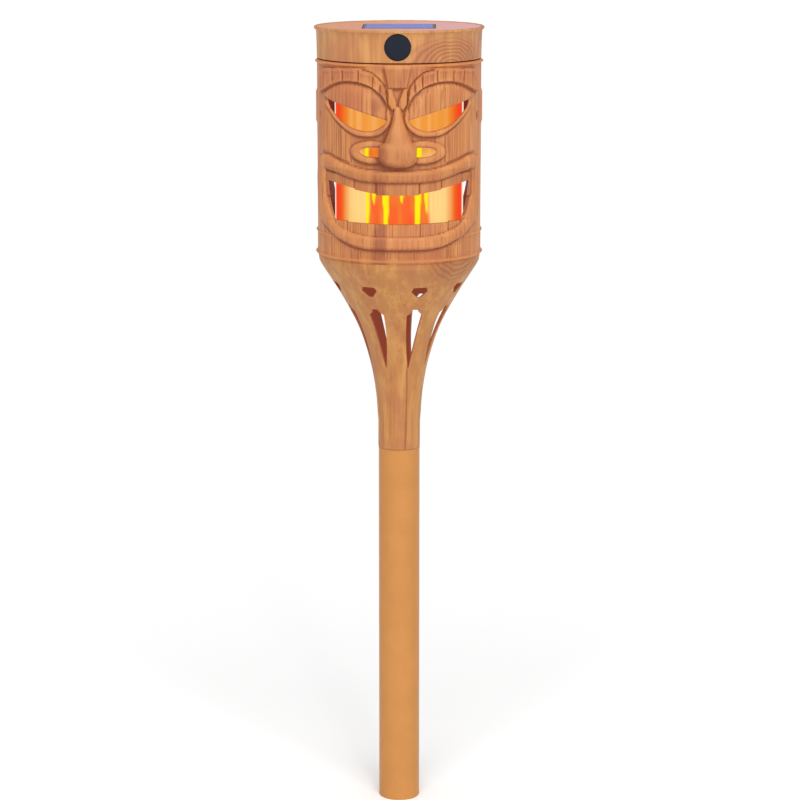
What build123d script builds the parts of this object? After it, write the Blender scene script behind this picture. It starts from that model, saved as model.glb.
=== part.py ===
from build123d import *
import os
from math import cos, radians, sin

# Solar tiki torch: a carved-mask lantern on a plain pole, lit by a flame lamp that
# lifts out with the solar cap.
#
# Frame: millimetres, +Z up, origin at the centre of the pole's open lower end.
# The mask looks toward -Y, and the same mask is moulded on the back.

os.makedirs("parts", exist_ok=True)

# ---------------------------------------------------------------- driving sizes

# Pole
pole_radius = 14.7
pole_wall = 1.0
pole_length = 264.0
socket_radius = 13.9
socket_depth = 40.0
edge_break = 0.3

# Fused bodies run this far into each other, and cutters this far past a face
weld = 0.5

# Neck: an eight-stave flare standing on a spigot inside the pole
neck_wall = 2.0
neck_foot_radius = 14.9
neck_straight_top = 283.0
neck_foot_gap = 0.1
spigot_radius = 13.62
spigot_bore_radius = 11.6
spigot_depth = 35.0
stave_count = 8
stave_pitch = 360 / stave_count
first_window_angle = 19.0
flare_points = [(16.9, 306.6), (21.5, 330.1), (29.3, 353.4), (41.7, 376.6), (54.9, 397.5)]
neck_rim_radius = 56.8
neck_rim_height = 404.4
neck_rim_edge = 1.4
neck_ring_radius = 54.5
neck_ring_bore = 52.7
neck_ring_top = 409.0

# Mask shell
shell_radius = 57.2
shell_wall = 2.4
shell_bottom = 404.6
shell_top = 541.2
shell_bore = shell_radius - shell_wall
trim_ring_heights = {"top": 539.9, "middle": 421.8, "bottom": 407.9}
trim_ring_size = {"top": 1.3, "middle": 1.0, "bottom": 1.4}

# Cap
cap_radius = 57.5
cap_wall = 2.2
cap_bottom = 541.7
cap_top = 563.0
cap_plate = 2.2
rim_radius = 58.2
rim_roll = 1.05
rim_height = 562.6
panel_size = 50.0
panel_gap = 0.5
panel_floor = 560.8
panel_tray_wall = 1.2

# Push button, centred over the nose
button_height = 552.4
button_radius = 8.85
button_travel = 1.2
stem_radius = 4.1
running_gap = 0.35

# Lamp
base_plate_bottom = 541.9
base_plate_top = 543.6
diffuser_radius = 45.0
diffuser_wall = 1.6
diffuser_bottom = 411.0
core_radius = 16.0
core_wall = 1.2
core_bottom = 417.0
led_rows = 12
led_columns = 8

# Battery: one penlight cell, lying across the cap
battery_radius = 7.1
battery_length = 49.0
battery_y = 16.0
battery_z = 551.8


def ring_of_screws(radius, angles):
    """Places on a circle, one for each screw."""
    return [(radius * cos(radians(a)), radius * sin(radians(a))) for a in angles]


# ---------------------------------------------------------------- pole

with BuildPart() as pole_tube:
    with BuildSketch():
        Circle(pole_radius)
        Circle(pole_radius - pole_wall, mode=Mode.SUBTRACT)
    extrude(amount=pole_length)
    # socket at the lower end, for a stake or another pole section
    with BuildSketch():
        Circle(socket_radius)
    extrude(amount=socket_depth, mode=Mode.SUBTRACT)
    chamfer(
        pole_tube.edges()
        .filter_by(GeomType.CIRCLE)
        .filter_by(lambda edge: edge.radius > pole_radius - pole_wall / 2),
        length=edge_break,
    )
pole_tube.part.label = "pole_tube"
export_step(pole_tube.part, "parts/pole_tube.step")

# ---------------------------------------------------------------- neck

flare_thickness = neck_wall * 1.15
flange_bottom = neck_rim_height - 2.0
flange_bore = 41.0
tray_screw_angles = (90, 210, 330)
tray_screw_circle = 46.5
tray_boss_radius = 3.4
tray_boss_depth = 9.0
tray_screw_radius = 1.35

window_top = 386.4
window_shoulder = 383.9
window_bottom = 379.3
window_half_widths = (5.0, 6.0, 1.6)
slit_top = 369.3
slit_shoulder = 365.0
slit_point = 325.0
slit_half_widths = (2.0, 5.7, 0.6)
cut_reach = 70.0


def pointed_opening(half_widths, heights):
    """Six-cornered outline, widest at its shoulder: its half widths and heights run from the top down."""
    right = list(zip(half_widths, heights))
    left = [(-x, z) for x, z in reversed(right)]
    return Polyline(*right, *left, close=True)


with BuildPart() as neck_basket:
    with BuildSketch(Plane.XZ):
        with BuildLine():
            outer = Spline(
                (neck_foot_radius, neck_straight_top),
                *flare_points,
                (neck_rim_radius, neck_rim_height - neck_rim_edge),
                tangents=((0, 1), (0.25, 1)),
            )
            inner = Spline(
                (neck_ring_bore, flange_bottom - 1.0),
                *[(r - flare_thickness, z) for r, z in reversed(flare_points[:-1])],
                (neck_foot_radius - neck_wall, neck_straight_top),
                tangents=((-0.35, -1), (0, -1)),
            )
            Polyline(
                outer @ 1,
                (neck_rim_radius, neck_rim_height),
                (neck_ring_radius, neck_rim_height),
                (neck_ring_radius, neck_ring_top),
                (neck_ring_bore, neck_ring_top),
                inner @ 0,
            )
            Polyline(
                inner @ 1,
                (neck_foot_radius - neck_wall, pole_length + 2.0),
                (spigot_bore_radius, pole_length),
                (spigot_bore_radius, pole_length - spigot_depth),
                (spigot_radius, pole_length - spigot_depth),
                (spigot_radius, pole_length + neck_foot_gap),
                (neck_foot_radius, pole_length + neck_foot_gap),
                outer @ 0,
            )
        make_face()
    revolve(axis=Axis.Z)
    # flange that carries the tray
    with BuildSketch(Plane.XY.offset(flange_bottom)):
        Circle(neck_ring_bore + weld)
        Circle(flange_bore, mode=Mode.SUBTRACT)
    extrude(amount=neck_rim_height - flange_bottom)
    with BuildSketch(Plane.XY.offset(flange_bottom)):
        with Locations(*ring_of_screws(tray_screw_circle, tray_screw_angles)):
            Circle(tray_boss_radius)
    extrude(amount=-tray_boss_depth)
    with BuildSketch(Plane.XY.offset(neck_rim_height)):
        with Locations(*ring_of_screws(tray_screw_circle, tray_screw_angles)):
            Circle(tray_screw_radius + 0.05)
    extrude(amount=-tray_boss_depth - weld, mode=Mode.SUBTRACT)
    # windows between the staves
    for stave in range(stave_count):
        window_plane = Plane.XZ.rotated((0, 0, first_window_angle + stave * stave_pitch))
        with BuildSketch(window_plane):
            with BuildLine():
                pointed_opening(window_half_widths, (window_top, window_shoulder, window_bottom))
            make_face()
            with BuildLine():
                pointed_opening(slit_half_widths, (slit_top, slit_shoulder, slit_point))
            make_face()
        extrude(amount=cut_reach, mode=Mode.SUBTRACT)
neck_basket.part.label = "neck_basket"
export_step(neck_basket.part, "parts/neck_basket.step")

# ---------------------------------------------------------------- mask outlines
# Each outline is drawn as the mask is seen from the front, its right half first
# and then mirrored about the middle of the face.

eye_inner = (7.4, 503.3)
eye_outer = (48.4, 515.6)

with BuildSketch() as eye_holes:
    with BuildLine():
        Line(eye_outer, eye_inner)
        Spline(eye_inner, (10.3, 499.3), (19.9, 495.3), (34.3, 498.5), (45.6, 508.4), eye_outer)
    make_face()
    mirror(about=Plane.YZ)

with BuildSketch() as nostril_holes:
    with BuildLine():
        Polyline((17.0, 477.8), (11.0, 477.8), (11.0, 484.7), (17.0, 484.7))
        RadiusArc((17.0, 484.7), (26.2, 481.3), 12.0)
        RadiusArc((26.2, 481.3), (17.0, 477.8), 12.0)
    make_face()
    mirror(about=Plane.YZ)

with BuildSketch() as mouth_hole:
    with BuildLine():
        teeth_line = Polyline((0, 452.4), (14.7, 452.4), (14.7, 453.2), (29.6, 455.5), (29.6, 456.2))
        lip_end = Line(teeth_line @ 1, (48.3, 460.0))
        cheek_line = Spline(lip_end @ 1, (47.3, 450.5), (45.6, 441.5), (43.1, 432.8))
        Polyline(cheek_line @ 1, (0, 432.2), (0, 452.4))
    make_face()
    mirror(about=Plane.YZ)

with BuildSketch() as brow_fields:
    with BuildLine():
        brow_under = Spline(
            (5.4, 507.5), (9.0, 517.0), (20.2, 526.1), (33.0, 528.6), (44.7, 525.5), (52.9, 519.5)
        )
        Polyline(
            brow_under @ 1,
            (50.5, 530.3),
            (45.0, 537.1),
            (24.8, 538.4),
            (17.9, 536.1),
            (12.6, 531.5),
            (7.0, 524.0),
            brow_under @ 0,
        )
    make_face()
    mirror(about=Plane.YZ)

with BuildSketch() as brow_grooves:
    for groove_x in (13.2, 16.0, 26.0, 37.2, 43.7):
        with Locations((groove_x, 530.0)):
            Rectangle(0.7, 20.0)
    mirror(about=Plane.YZ)

with BuildSketch() as lid_fields:
    with BuildLine():
        Spline(
            (5.2, 505.0), (12.0, 523.0), (28.5, 530.0), (44.7, 527.0), (53.0, 518.0),
        )
        Spline((53.0, 518.0), (41.0, 500.3), (28.0, 492.6), (14.0, 492.8), (5.2, 505.0))
    make_face()
    mirror(about=Plane.YZ)

with BuildSketch() as eye_rims:
    with BuildLine():
        rim_under = Spline(
            (4.6, 503.0), (7.5, 497.3), (14.4, 492.6), (28.5, 492.6), (40.9, 500.7), (50.0, 513.5)
        )
        Line(rim_under @ 1, eye_outer)
        Spline(eye_outer, (45.6, 508.4), (34.3, 498.5), (19.9, 495.3), (10.3, 499.3), eye_inner)
        Line(eye_inner, rim_under @ 0)
    make_face()
    mirror(about=Plane.YZ)

with BuildSketch() as forehead_block:
    with BuildLine():
        Polyline((-9.5, 539.7), (9.5, 539.7), (6.2, 525.2), (-6.2, 525.2), close=True)
    make_face()

with BuildSketch() as nostril_rims:
    with Locations((17.0, 481.8), (-17.0, 481.8)):
        Ellipse(15.5, 7.8)

with BuildSketch() as lip_fields:
    with BuildLine():
        upper_lip = Spline((0, 469.2), (24.0, 470.0), (41.5, 474.6), (51.5, 478.4))
        frame_out = Line(upper_lip @ 1, (50.5, 428.0))
        lower_lip = Spline(frame_out @ 1, (38.4, 419.9), (22.0, 414.7), (0, 414.3))
        Line(lower_lip @ 1, (0, 423.4))
        lip_inside = Spline((0, 423.4), (20.0, 424.1), (39.5, 428.8), (44.3, 433.5))
        frame_in = Spline(lip_inside @ 1, (46.9, 441.5), (48.6, 450.5), (49.4, 466.8))
        lip_under = Spline(frame_in @ 1, (41.0, 465.6), (24.0, 461.2), (0, 460.5))
        Line(lip_under @ 1, upper_lip @ 0)
    make_face()
    mirror(about=Plane.YZ)

with BuildSketch() as teeth_fields:
    with BuildLine():
        Polyline(
            (-49.0, 470.0), (0, 463.0), (49.0, 470.0), (49.0, 460.0),
            (30.0, 450.0), (-30.0, 450.0), (-49.0, 460.0), close=True,
        )
    make_face()
    with BuildLine():
        Polyline((-46.0, 436.0), (46.0, 436.0), (40.0, 425.0), (-40.0, 425.0), close=True)
    make_face()

tooth_grooves_upper = (14.7, 29.6)
tooth_grooves_lower = (15.4, 34.3)
with BuildSketch() as tooth_grooves:
    for groove_x in tooth_grooves_upper:
        with Locations((groove_x, 456.0), (-groove_x, 456.0)):
            Rectangle(0.8, 10.0)
    for groove_x in tooth_grooves_lower:
        with Locations((groove_x, 429.0), (-groove_x, 429.0)):
            Rectangle(0.8, 8.0)


def raised(outline, height):
    """A field standing proud of the drum by height, bounded by an outline seen from the front."""
    with BuildPart() as field:
        with BuildSketch(Plane.XZ):
            add(outline)
        extrude(amount=cut_reach)
        with BuildSketch():
            Circle(shell_radius + height)
        extrude(amount=cap_top, mode=Mode.INTERSECT)
    return field.part


def through(outline):
    """The same outline as a cutter that reaches from the axis out through the front wall."""
    with BuildPart() as cutter:
        with BuildSketch(Plane.XZ):
            add(outline)
        extrude(amount=cut_reach)
    return cutter.part


def trimmed(outline, grooves, height):
    """A raised field with grooves cut down to half its height."""
    with BuildPart() as field:
        add(raised(outline, height))
        with BuildSketch(Plane.XZ):
            add(grooves)
        extrude(amount=cut_reach, mode=Mode.SUBTRACT)
        add(raised(outline, height / 2))
    return field.part


# ---------------------------------------------------------------- mask relief

lid_height = 0.9
rim_height_on_eye = 1.7
brow_height = 2.2
block_height = 1.8
nostril_rim_height = 1.9
lip_height = 2.8
teeth_height = 1.0
ear_height = 1.0
ear_bottom = 498.0
ear_length = 22.0
ear_width = 16.0

raised_fields = [
    raised(lid_fields.sketch, lid_height),
    raised(eye_rims.sketch, rim_height_on_eye),
    trimmed(brow_fields.sketch, brow_grooves.sketch, brow_height),
    raised(forehead_block.sketch, block_height),
    raised(nostril_rims.sketch, nostril_rim_height),
    raised(lip_fields.sketch, lip_height),
    trimmed(teeth_fields.sketch, tooth_grooves.sketch, teeth_height),
]
openings_cut = [
    through(eye_holes.sketch),
    through(nostril_holes.sketch),
    through(mouth_hole.sketch),
]

# nose: a bridge that widens downward, and a broad ball at its foot
nose_bridge_top = 512.0
nose_bridge_y = -54.5
nose_bridge_top_size = (3.2, 4.2)
nose_bridge_foot_size = (10.6, 8.6)
nose_bridge_foot_rise = 4.0
nose_ball_height = 481.2
nose_ball_width = 13.7
nose_ball_depth = 8.6
nose_ball_y = -55.6

with BuildPart() as nose:
    with BuildSketch(Plane.XY.offset(nose_bridge_top)):
        with Locations((0, nose_bridge_y)):
            Ellipse(*nose_bridge_top_size)
    with BuildSketch(Plane.XY.offset(nose_ball_height + nose_bridge_foot_rise)):
        with Locations((0, nose_bridge_y)):
            Ellipse(*nose_bridge_foot_size)
    loft()
    with BuildSketch(Plane.XY.offset(nose_ball_height)):
        with Locations((0, nose_ball_y)):
            Ellipse(nose_ball_width, nose_ball_depth)
            Rectangle(2 * nose_ball_width, 2 * nose_ball_depth, align=(Align.CENTER, Align.MIN),
                      mode=Mode.SUBTRACT)
    revolve(axis=Axis((0, nose_ball_y, nose_ball_height), (1, 0, 0)))

# ---------------------------------------------------------------- mask shell

with BuildPart() as face_shell_front:
    with BuildSketch(Plane.XY.offset(shell_bottom)):
        Circle(shell_radius)
    extrude(amount=shell_top - shell_bottom)
    for field in raised_fields:
        add(field)
    add(nose.part)
    # small ear blocks over the side seams
    with BuildSketch(Plane.XY.offset(ear_bottom)):
        Circle(shell_radius + ear_height)
        Rectangle(4 * shell_radius, ear_width, mode=Mode.INTERSECT)
    extrude(amount=ear_length)
    for cutter in openings_cut:
        add(cutter, mode=Mode.SUBTRACT)
    # moulded trim rings
    for name, height in trim_ring_heights.items():
        with BuildSketch(Plane.XZ):
            with Locations((shell_radius, height)):
                Circle(trim_ring_size[name])
        revolve(axis=Axis.Z)
    # hollow the drum and keep the front half
    with BuildSketch(Plane.XY.offset(shell_bottom)):
        Circle(shell_bore)
    extrude(amount=shell_top - shell_bottom, mode=Mode.SUBTRACT)
    split(bisect_by=Plane.XZ, keep=Keep.TOP)
face_shell_front.part.label = "face_shell_front"
export_step(face_shell_front.part, "parts/face_shell_front.step")

with BuildPart() as face_shell_back:
    add(mirror(face_shell_front.part, about=Plane.XZ))
face_shell_back.part.label = "face_shell_back"
export_step(face_shell_back.part, "parts/face_shell_back.step")

# collar inside the top of the shell: joins the halves and holds the cap's keys
collar_bottom = 530.0
collar_top = 541.0
collar_radius = shell_bore - 0.05
collar_bore = 52.2
key_angles = (30, 150, 285)
key_width = 8.0
keyway_width = 8.8
key_bottom = 534.0
key_top = 538.5
key_reach = 53.6
keyway_reach = 54.0

with BuildPart() as top_collar:
    with BuildSketch(Plane.XY.offset(collar_bottom)):
        Circle(collar_radius)
        Circle(collar_bore, mode=Mode.SUBTRACT)
    extrude(amount=collar_top - collar_bottom)
    with BuildSketch(Plane.XY.offset(key_bottom - 0.1)):
        for angle in key_angles:
            with Locations(Plane.XY.rotated((0, 0, angle))):
                Rectangle(keyway_reach, keyway_width, align=(Align.MIN, Align.CENTER))
    extrude(amount=collar_top, mode=Mode.SUBTRACT)
top_collar.part.label = "top_collar"
export_step(top_collar.part, "parts/top_collar.step")

# tray: floor of the lantern, screwed down on the neck's flange
tray_thickness = 2.4
tray_radius = 52.4
tray_wall = 1.4
tray_rim_top = 412.0
tray_bottom = neck_rim_height
drain_radius = 3.0
drain_count = 6
drain_circle = 30.0

with BuildPart() as base_tray:
    with BuildSketch(Plane.XY.offset(tray_bottom)):
        Circle(tray_radius)
    extrude(amount=tray_thickness)
    with BuildSketch(Plane.XY.offset(tray_bottom)):
        Circle(tray_radius)
        Circle(tray_radius - tray_wall, mode=Mode.SUBTRACT)
    extrude(amount=tray_rim_top - tray_bottom)
    with BuildSketch(Plane.XY.offset(tray_bottom)):
        with PolarLocations(drain_circle, drain_count):
            Circle(drain_radius)
        with Locations(*ring_of_screws(tray_screw_circle, tray_screw_angles)):
            Circle(tray_screw_radius + 0.15)
    extrude(amount=tray_thickness, mode=Mode.SUBTRACT)
base_tray.part.label = "base_tray"
export_step(base_tray.part, "parts/base_tray.step")


def pan_screws(places, head_face, head_radius, head_height, shank_radius, shank_length, upward):
    """Pan-head screws with a cross recess, one solid at each place."""
    turn = 1 if upward else -1
    with BuildPart() as screws:
        with BuildSketch(Plane.XY.offset(head_face)):
            with Locations(*places):
                Circle(head_radius)
        extrude(amount=-turn * head_height)
        with BuildSketch(Plane.XY.offset(head_face - turn * head_height)):
            with Locations(*places):
                Rectangle(head_radius, head_radius / 4)
                Rectangle(head_radius / 4, head_radius)
        extrude(amount=turn * head_height / 2, mode=Mode.SUBTRACT)
        with BuildSketch(Plane.XY.offset(head_face)):
            with Locations(*places):
                Circle(shank_radius)
        extrude(amount=turn * shank_length)
    return screws.part


with BuildPart() as tray_screws:
    add(
        pan_screws(
            ring_of_screws(tray_screw_circle, tray_screw_angles),
            head_face=tray_bottom + tray_thickness,
            head_radius=2.6,
            head_height=1.6,
            shank_radius=tray_screw_radius,
            shank_length=9.5,
            upward=False,
        )
    )
tray_screws.part.label = "tray_screws"
export_step(tray_screws.part, "parts/tray_screws.step")

# ---------------------------------------------------------------- cap

inner_top = cap_top - cap_plate
cap_screw_circle = 47.6
cap_screw_angles = (45, 135, 225, 315)
cap_screw_radius = 1.2
cap_screw_length = 12.0
clearance = 0.15
cap_boss_radius = 3.2
button_face = -57.9
button_thickness = 1.6
button_seat = -54.9
pad_back = -52.2
pad_front = -55.6
pad_half_width = 11.5
seal_shelf = 544.6
seal_shelf_width = 2.0
seal_shelf_thickness = 1.4
panel_tray_margin = 2.0
panel_lead_slot = (9.0, 4.0)
panel_lead_y = -12.0

with BuildPart() as cap_shell:
    with BuildSketch(Plane.XZ):
        with BuildLine():
            Polyline(
                (0, inner_top),
                (cap_radius - cap_wall, inner_top),
                (cap_radius - cap_wall, cap_bottom),
                (cap_radius - 0.2, cap_bottom),
                (cap_radius, cap_bottom + 8.0),
                (cap_radius, cap_top),
                (0, cap_top),
                close=True,
            )
        make_face()
        with Locations((rim_radius, rim_height)):
            Circle(rim_roll)
    revolve(axis=Axis.Z)
    # shelf above the seal
    with BuildSketch(Plane.XY.offset(seal_shelf)):
        Circle(cap_radius - cap_wall + weld)
        Circle(cap_radius - cap_wall - seal_shelf_width, mode=Mode.SUBTRACT)
    extrude(amount=seal_shelf_thickness)
    # thick pad behind the button
    with BuildSketch(Plane.XZ.offset(-pad_back)):
        with Locations((0, seal_shelf)):
            Rectangle(2 * pad_half_width, inner_top - seal_shelf + weld, align=(Align.CENTER, Align.MIN))
    extrude(amount=pad_back - pad_front)
    # screw bosses
    with BuildSketch(Plane.XY.offset(base_plate_top)):
        with Locations(*ring_of_screws(cap_screw_circle, cap_screw_angles)):
            Circle(cap_boss_radius)
    extrude(amount=inner_top - base_plate_top + weld)
    # tray that the solar panel sits in
    with BuildSketch(Plane.XY.offset(panel_floor - panel_tray_wall)):
        Rectangle(panel_size + 2 * panel_tray_margin, panel_size + 2 * panel_tray_margin)
    extrude(amount=inner_top + weld - panel_floor + panel_tray_wall)
    with BuildSketch(Plane.XY.offset(panel_floor)):
        RectangleRounded(panel_size + 2 * panel_gap, panel_size + 2 * panel_gap, 1.0)
    extrude(amount=cap_top - panel_floor, mode=Mode.SUBTRACT)
    # hole for the panel's leads
    with BuildSketch(Plane.XY.offset(panel_floor)):
        with Locations((0, panel_lead_y)):
            SlotOverall(*panel_lead_slot)
    extrude(amount=-panel_tray_wall - weld, mode=Mode.SUBTRACT)
    # screw holes
    with BuildSketch(Plane.XY.offset(base_plate_top)):
        with Locations(*ring_of_screws(cap_screw_circle, cap_screw_angles)):
            Circle(cap_screw_radius + 0.05)
    extrude(amount=cap_screw_length, mode=Mode.SUBTRACT)
    # recess and bore for the button
    with BuildSketch(Plane.XZ.offset(-button_seat)):
        with Locations((0, button_height)):
            Circle(button_radius + running_gap)
    extrude(amount=rim_radius, mode=Mode.SUBTRACT)
    with BuildSketch(Plane.XZ.offset(-pad_back - weld)):
        with Locations((0, button_height)):
            Circle(stem_radius + running_gap)
    extrude(amount=rim_radius, mode=Mode.SUBTRACT)
cap_shell.part.label = "cap_shell"
export_step(cap_shell.part, "parts/cap_shell.step")

skirt_radius = 51.7
skirt_wall = 1.7
skirt_bottom = 533.5
socket_bottom = 536.0
board_post_height = 547.0
board_centre_y = -26.0
board_width = 36.0
board_depth = 22.0
board_screw_places = [(-14.0, board_centre_y + 7.0), (14.0, board_centre_y - 7.0)]
board_post_places = board_screw_places + [(14.0, board_centre_y + 7.0), (-14.0, board_centre_y - 7.0)]
lead_hole_radius = 4.0
board_post_radius = 2.2
board_pilot_radius = 0.85
board_pilot_depth = 4.0

with BuildPart() as cap_base:
    with BuildSketch(Plane.XY.offset(base_plate_bottom)):
        Circle(cap_radius - cap_wall - 0.3)
        Circle(lead_hole_radius, mode=Mode.SUBTRACT)
        with Locations(*ring_of_screws(cap_screw_circle, cap_screw_angles)):
            Circle(cap_screw_radius + clearance, mode=Mode.SUBTRACT)
    extrude(amount=base_plate_top - base_plate_bottom)
    # skirt that enters the collar, with its keys
    with BuildSketch(Plane.XY.offset(base_plate_bottom)):
        Circle(skirt_radius)
        Circle(skirt_radius - skirt_wall, mode=Mode.SUBTRACT)
    extrude(amount=skirt_bottom - base_plate_bottom)
    with BuildSketch(Plane.XY.offset(key_bottom)):
        for angle in key_angles:
            with Locations(Plane.XY.rotated((0, 0, angle))):
                Rectangle(key_reach, key_width, align=(Align.MIN, Align.CENTER))
        Circle(skirt_radius - 0.5, mode=Mode.SUBTRACT)
    extrude(amount=key_top - key_bottom)
    # seats for the diffuser and the lamp core
    with BuildSketch(Plane.XY.offset(socket_bottom)):
        Circle(diffuser_radius - diffuser_wall - 0.2)
        Circle(diffuser_radius - diffuser_wall - 1.8, mode=Mode.SUBTRACT)
        Circle(core_radius + 1.7)
        Circle(core_radius + 0.1, mode=Mode.SUBTRACT)
    extrude(amount=base_plate_bottom - socket_bottom)
    # posts for the main board
    with BuildSketch(Plane.XY.offset(base_plate_top)):
        with Locations(*board_post_places):
            Circle(board_post_radius)
    extrude(amount=board_post_height - base_plate_top)
    with BuildSketch(Plane.XY.offset(board_post_height)):
        with Locations(*board_screw_places):
            Circle(board_pilot_radius)
    extrude(amount=-board_pilot_depth, mode=Mode.SUBTRACT)
cap_base.part.label = "cap_base"
export_step(cap_base.part, "parts/cap_base.step")

with BuildPart() as cap_screws:
    add(
        pan_screws(
            ring_of_screws(cap_screw_circle, cap_screw_angles),
            head_face=base_plate_bottom,
            head_radius=1.9,
            head_height=1.3,
            shank_radius=cap_screw_radius,
            shank_length=cap_screw_length,
            upward=True,
        )
    )
cap_screws.part.label = "cap_screws"
export_step(cap_screws.part, "parts/cap_screws.step")

seal_section = 0.48
with BuildPart() as cap_seal:
    with BuildSketch(Plane.XZ):
        with Locations((cap_radius - cap_wall - 1.0, (base_plate_top + seal_shelf) / 2)):
            Circle(seal_section)
    revolve(axis=Axis.Z)
cap_seal.part.label = "cap_seal"
export_step(cap_seal.part, "parts/cap_seal.step")

# ---------------------------------------------------------------- solar panel

panel_board_thickness = 1.0
cell_thickness = 0.3
cell_count = 6
cell_pitch = 7.8
cell_width = 7.4
cell_length = 46.0
panel_cover_bottom = panel_floor + panel_board_thickness + cell_thickness

with BuildPart() as panel_board:
    with BuildSketch(Plane.XY.offset(panel_floor)):
        Rectangle(panel_size, panel_size)
    extrude(amount=panel_board_thickness)
panel_board.part.label = "panel_board"
export_step(panel_board.part, "parts/panel_board.step")

with BuildPart() as solar_cells:
    with BuildSketch(Plane.XY.offset(panel_floor + panel_board_thickness)):
        with GridLocations(cell_pitch, cell_pitch, cell_count, 1):
            Rectangle(cell_width, cell_length)
    extrude(amount=cell_thickness)
solar_cells.part.label = "solar_cells"
export_step(solar_cells.part, "parts/solar_cells.step")

with BuildPart() as panel_cover:
    with BuildSketch(Plane.XY.offset(panel_cover_bottom)):
        Rectangle(panel_size, panel_size)
    extrude(amount=cap_top - 0.2 - panel_cover_bottom)
panel_cover.part.label = "panel_cover"
export_step(panel_cover.part, "parts/panel_cover.step")

# ---------------------------------------------------------------- button and switch

clip_face = pad_back + 0.3
stem_end = -49.9
clip_thickness = 0.8
button_crown = 0.35

with BuildPart() as power_button:
    with BuildSketch(Plane.XZ.offset(-button_face - button_thickness)):
        with Locations((0, button_height)):
            Circle(button_radius)
    extrude(amount=button_thickness)
    chamfer(power_button.faces().sort_by(Axis.Y)[0].edges(), length=button_crown)
    with BuildSketch(Plane.XZ.offset(-stem_end)):
        with Locations((0, button_height)):
            Circle(stem_radius)
    extrude(amount=-button_face - button_thickness + stem_end)
power_button.part.label = "power_button"
export_step(power_button.part, "parts/power_button.step")

with BuildPart() as button_clip:
    with BuildSketch(Plane.XZ.offset(-clip_face)):
        with Locations((0, button_height)):
            Circle(stem_radius + 1.5)
            Circle(stem_radius + 0.02, mode=Mode.SUBTRACT)
            with Locations((0, -stem_radius)):
                Rectangle(3.0, 6.0, mode=Mode.SUBTRACT)
    extrude(amount=-clip_thickness)
button_clip.part.label = "button_clip"
export_step(button_clip.part, "parts/button_clip.step")

plunger_radius = 1.75
plunger_end = -49.6
plunger_root = -46.0
switch_front = -47.6
switch_back = -43.8
switch_size = 8.0
switch_board_thickness = 1.2
switch_board_size = (20.0, 14.0)
switch_board_drop = 1.4
switch_corner = 0.6
switch_floor = 0.6
bracket_post_x = 8.5
bracket_post_size = (3.0, 2.0)
bracket_wall_size = (20.0, 1.0)
bracket_height = 10.0
switch_board_back = switch_back + switch_board_thickness

with BuildPart() as switch_plunger:
    with BuildSketch(Plane.XZ.offset(-plunger_root)):
        with Locations((0, button_height)):
            Circle(plunger_radius)
    extrude(amount=plunger_root - plunger_end)
switch_plunger.part.label = "switch_plunger"
export_step(switch_plunger.part, "parts/switch_plunger.step")

with BuildPart() as switch_body:
    with BuildSketch(Plane.XZ.offset(-switch_back)):
        with Locations((0, button_height)):
            RectangleRounded(switch_size, switch_size, switch_corner)
    extrude(amount=switch_back - switch_front)
    with BuildSketch(Plane.XZ.offset(-switch_front)):
        with Locations((0, button_height)):
            Circle(plunger_radius + running_gap)
    extrude(amount=-(switch_back - switch_front - switch_floor), mode=Mode.SUBTRACT)
switch_body.part.label = "switch_body"
export_step(switch_body.part, "parts/switch_body.step")

with BuildPart() as switch_board:
    with BuildSketch(Plane.XZ.offset(-switch_back)):
        with Locations((0, button_height - switch_board_drop)):
            Rectangle(*switch_board_size)
    extrude(amount=-switch_board_thickness)
switch_board.part.label = "switch_board"
export_step(switch_board.part, "parts/switch_board.step")

with BuildPart() as switch_bracket:
    with BuildSketch(Plane.XY.offset(base_plate_top)):
        with Locations((-bracket_post_x, switch_board_back), (bracket_post_x, switch_board_back)):
            Rectangle(*bracket_post_size, align=(Align.CENTER, Align.MIN))
        with Locations((0, switch_board_back + bracket_wall_size[1])):
            Rectangle(*bracket_wall_size, align=(Align.CENTER, Align.MIN))
    extrude(amount=bracket_height)
switch_bracket.part.label = "switch_bracket"
export_step(switch_bracket.part, "parts/switch_bracket.step")

# ---------------------------------------------------------------- main board

main_board_thickness = 1.2
board_corner = 1.0
board_hole_radius = 1.0
chip_x = -3.0
chip_size = (5.0, 4.0)
chip_height = 1.6
chip_pin_pitch = 1.27
chip_pin_span = 5.2
chip_pin_size = (0.45, 1.4)
chip_pin_thickness = 0.3
inductor_place = (6.5, board_centre_y + 2.0)
inductor_flange_radius = 3.2
inductor_winding_radius = 2.6
inductor_foot = 1.0
inductor_winding = 2.6
inductor_cap = 0.9
capacitor_place = (-12.5, board_centre_y - 1.0)
capacitor_radius = 2.5
capacitor_height = 7.0
capacitor_edge = 0.4
main_board_top = board_post_height + main_board_thickness

with BuildPart() as main_board:
    with BuildSketch(Plane.XY.offset(board_post_height)):
        with Locations((0, board_centre_y)):
            RectangleRounded(board_width, board_depth, board_corner)
        with Locations(*board_screw_places):
            Circle(board_hole_radius, mode=Mode.SUBTRACT)
    extrude(amount=main_board_thickness)
main_board.part.label = "main_board"
export_step(main_board.part, "parts/main_board.step")

with BuildPart() as board_screws:
    add(
        pan_screws(
            board_screw_places,
            head_face=main_board_top,
            head_radius=1.7,
            head_height=1.1,
            shank_radius=0.8,
            shank_length=4.5,
            upward=False,
        )
    )
board_screws.part.label = "board_screws"
export_step(board_screws.part, "parts/board_screws.step")

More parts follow.
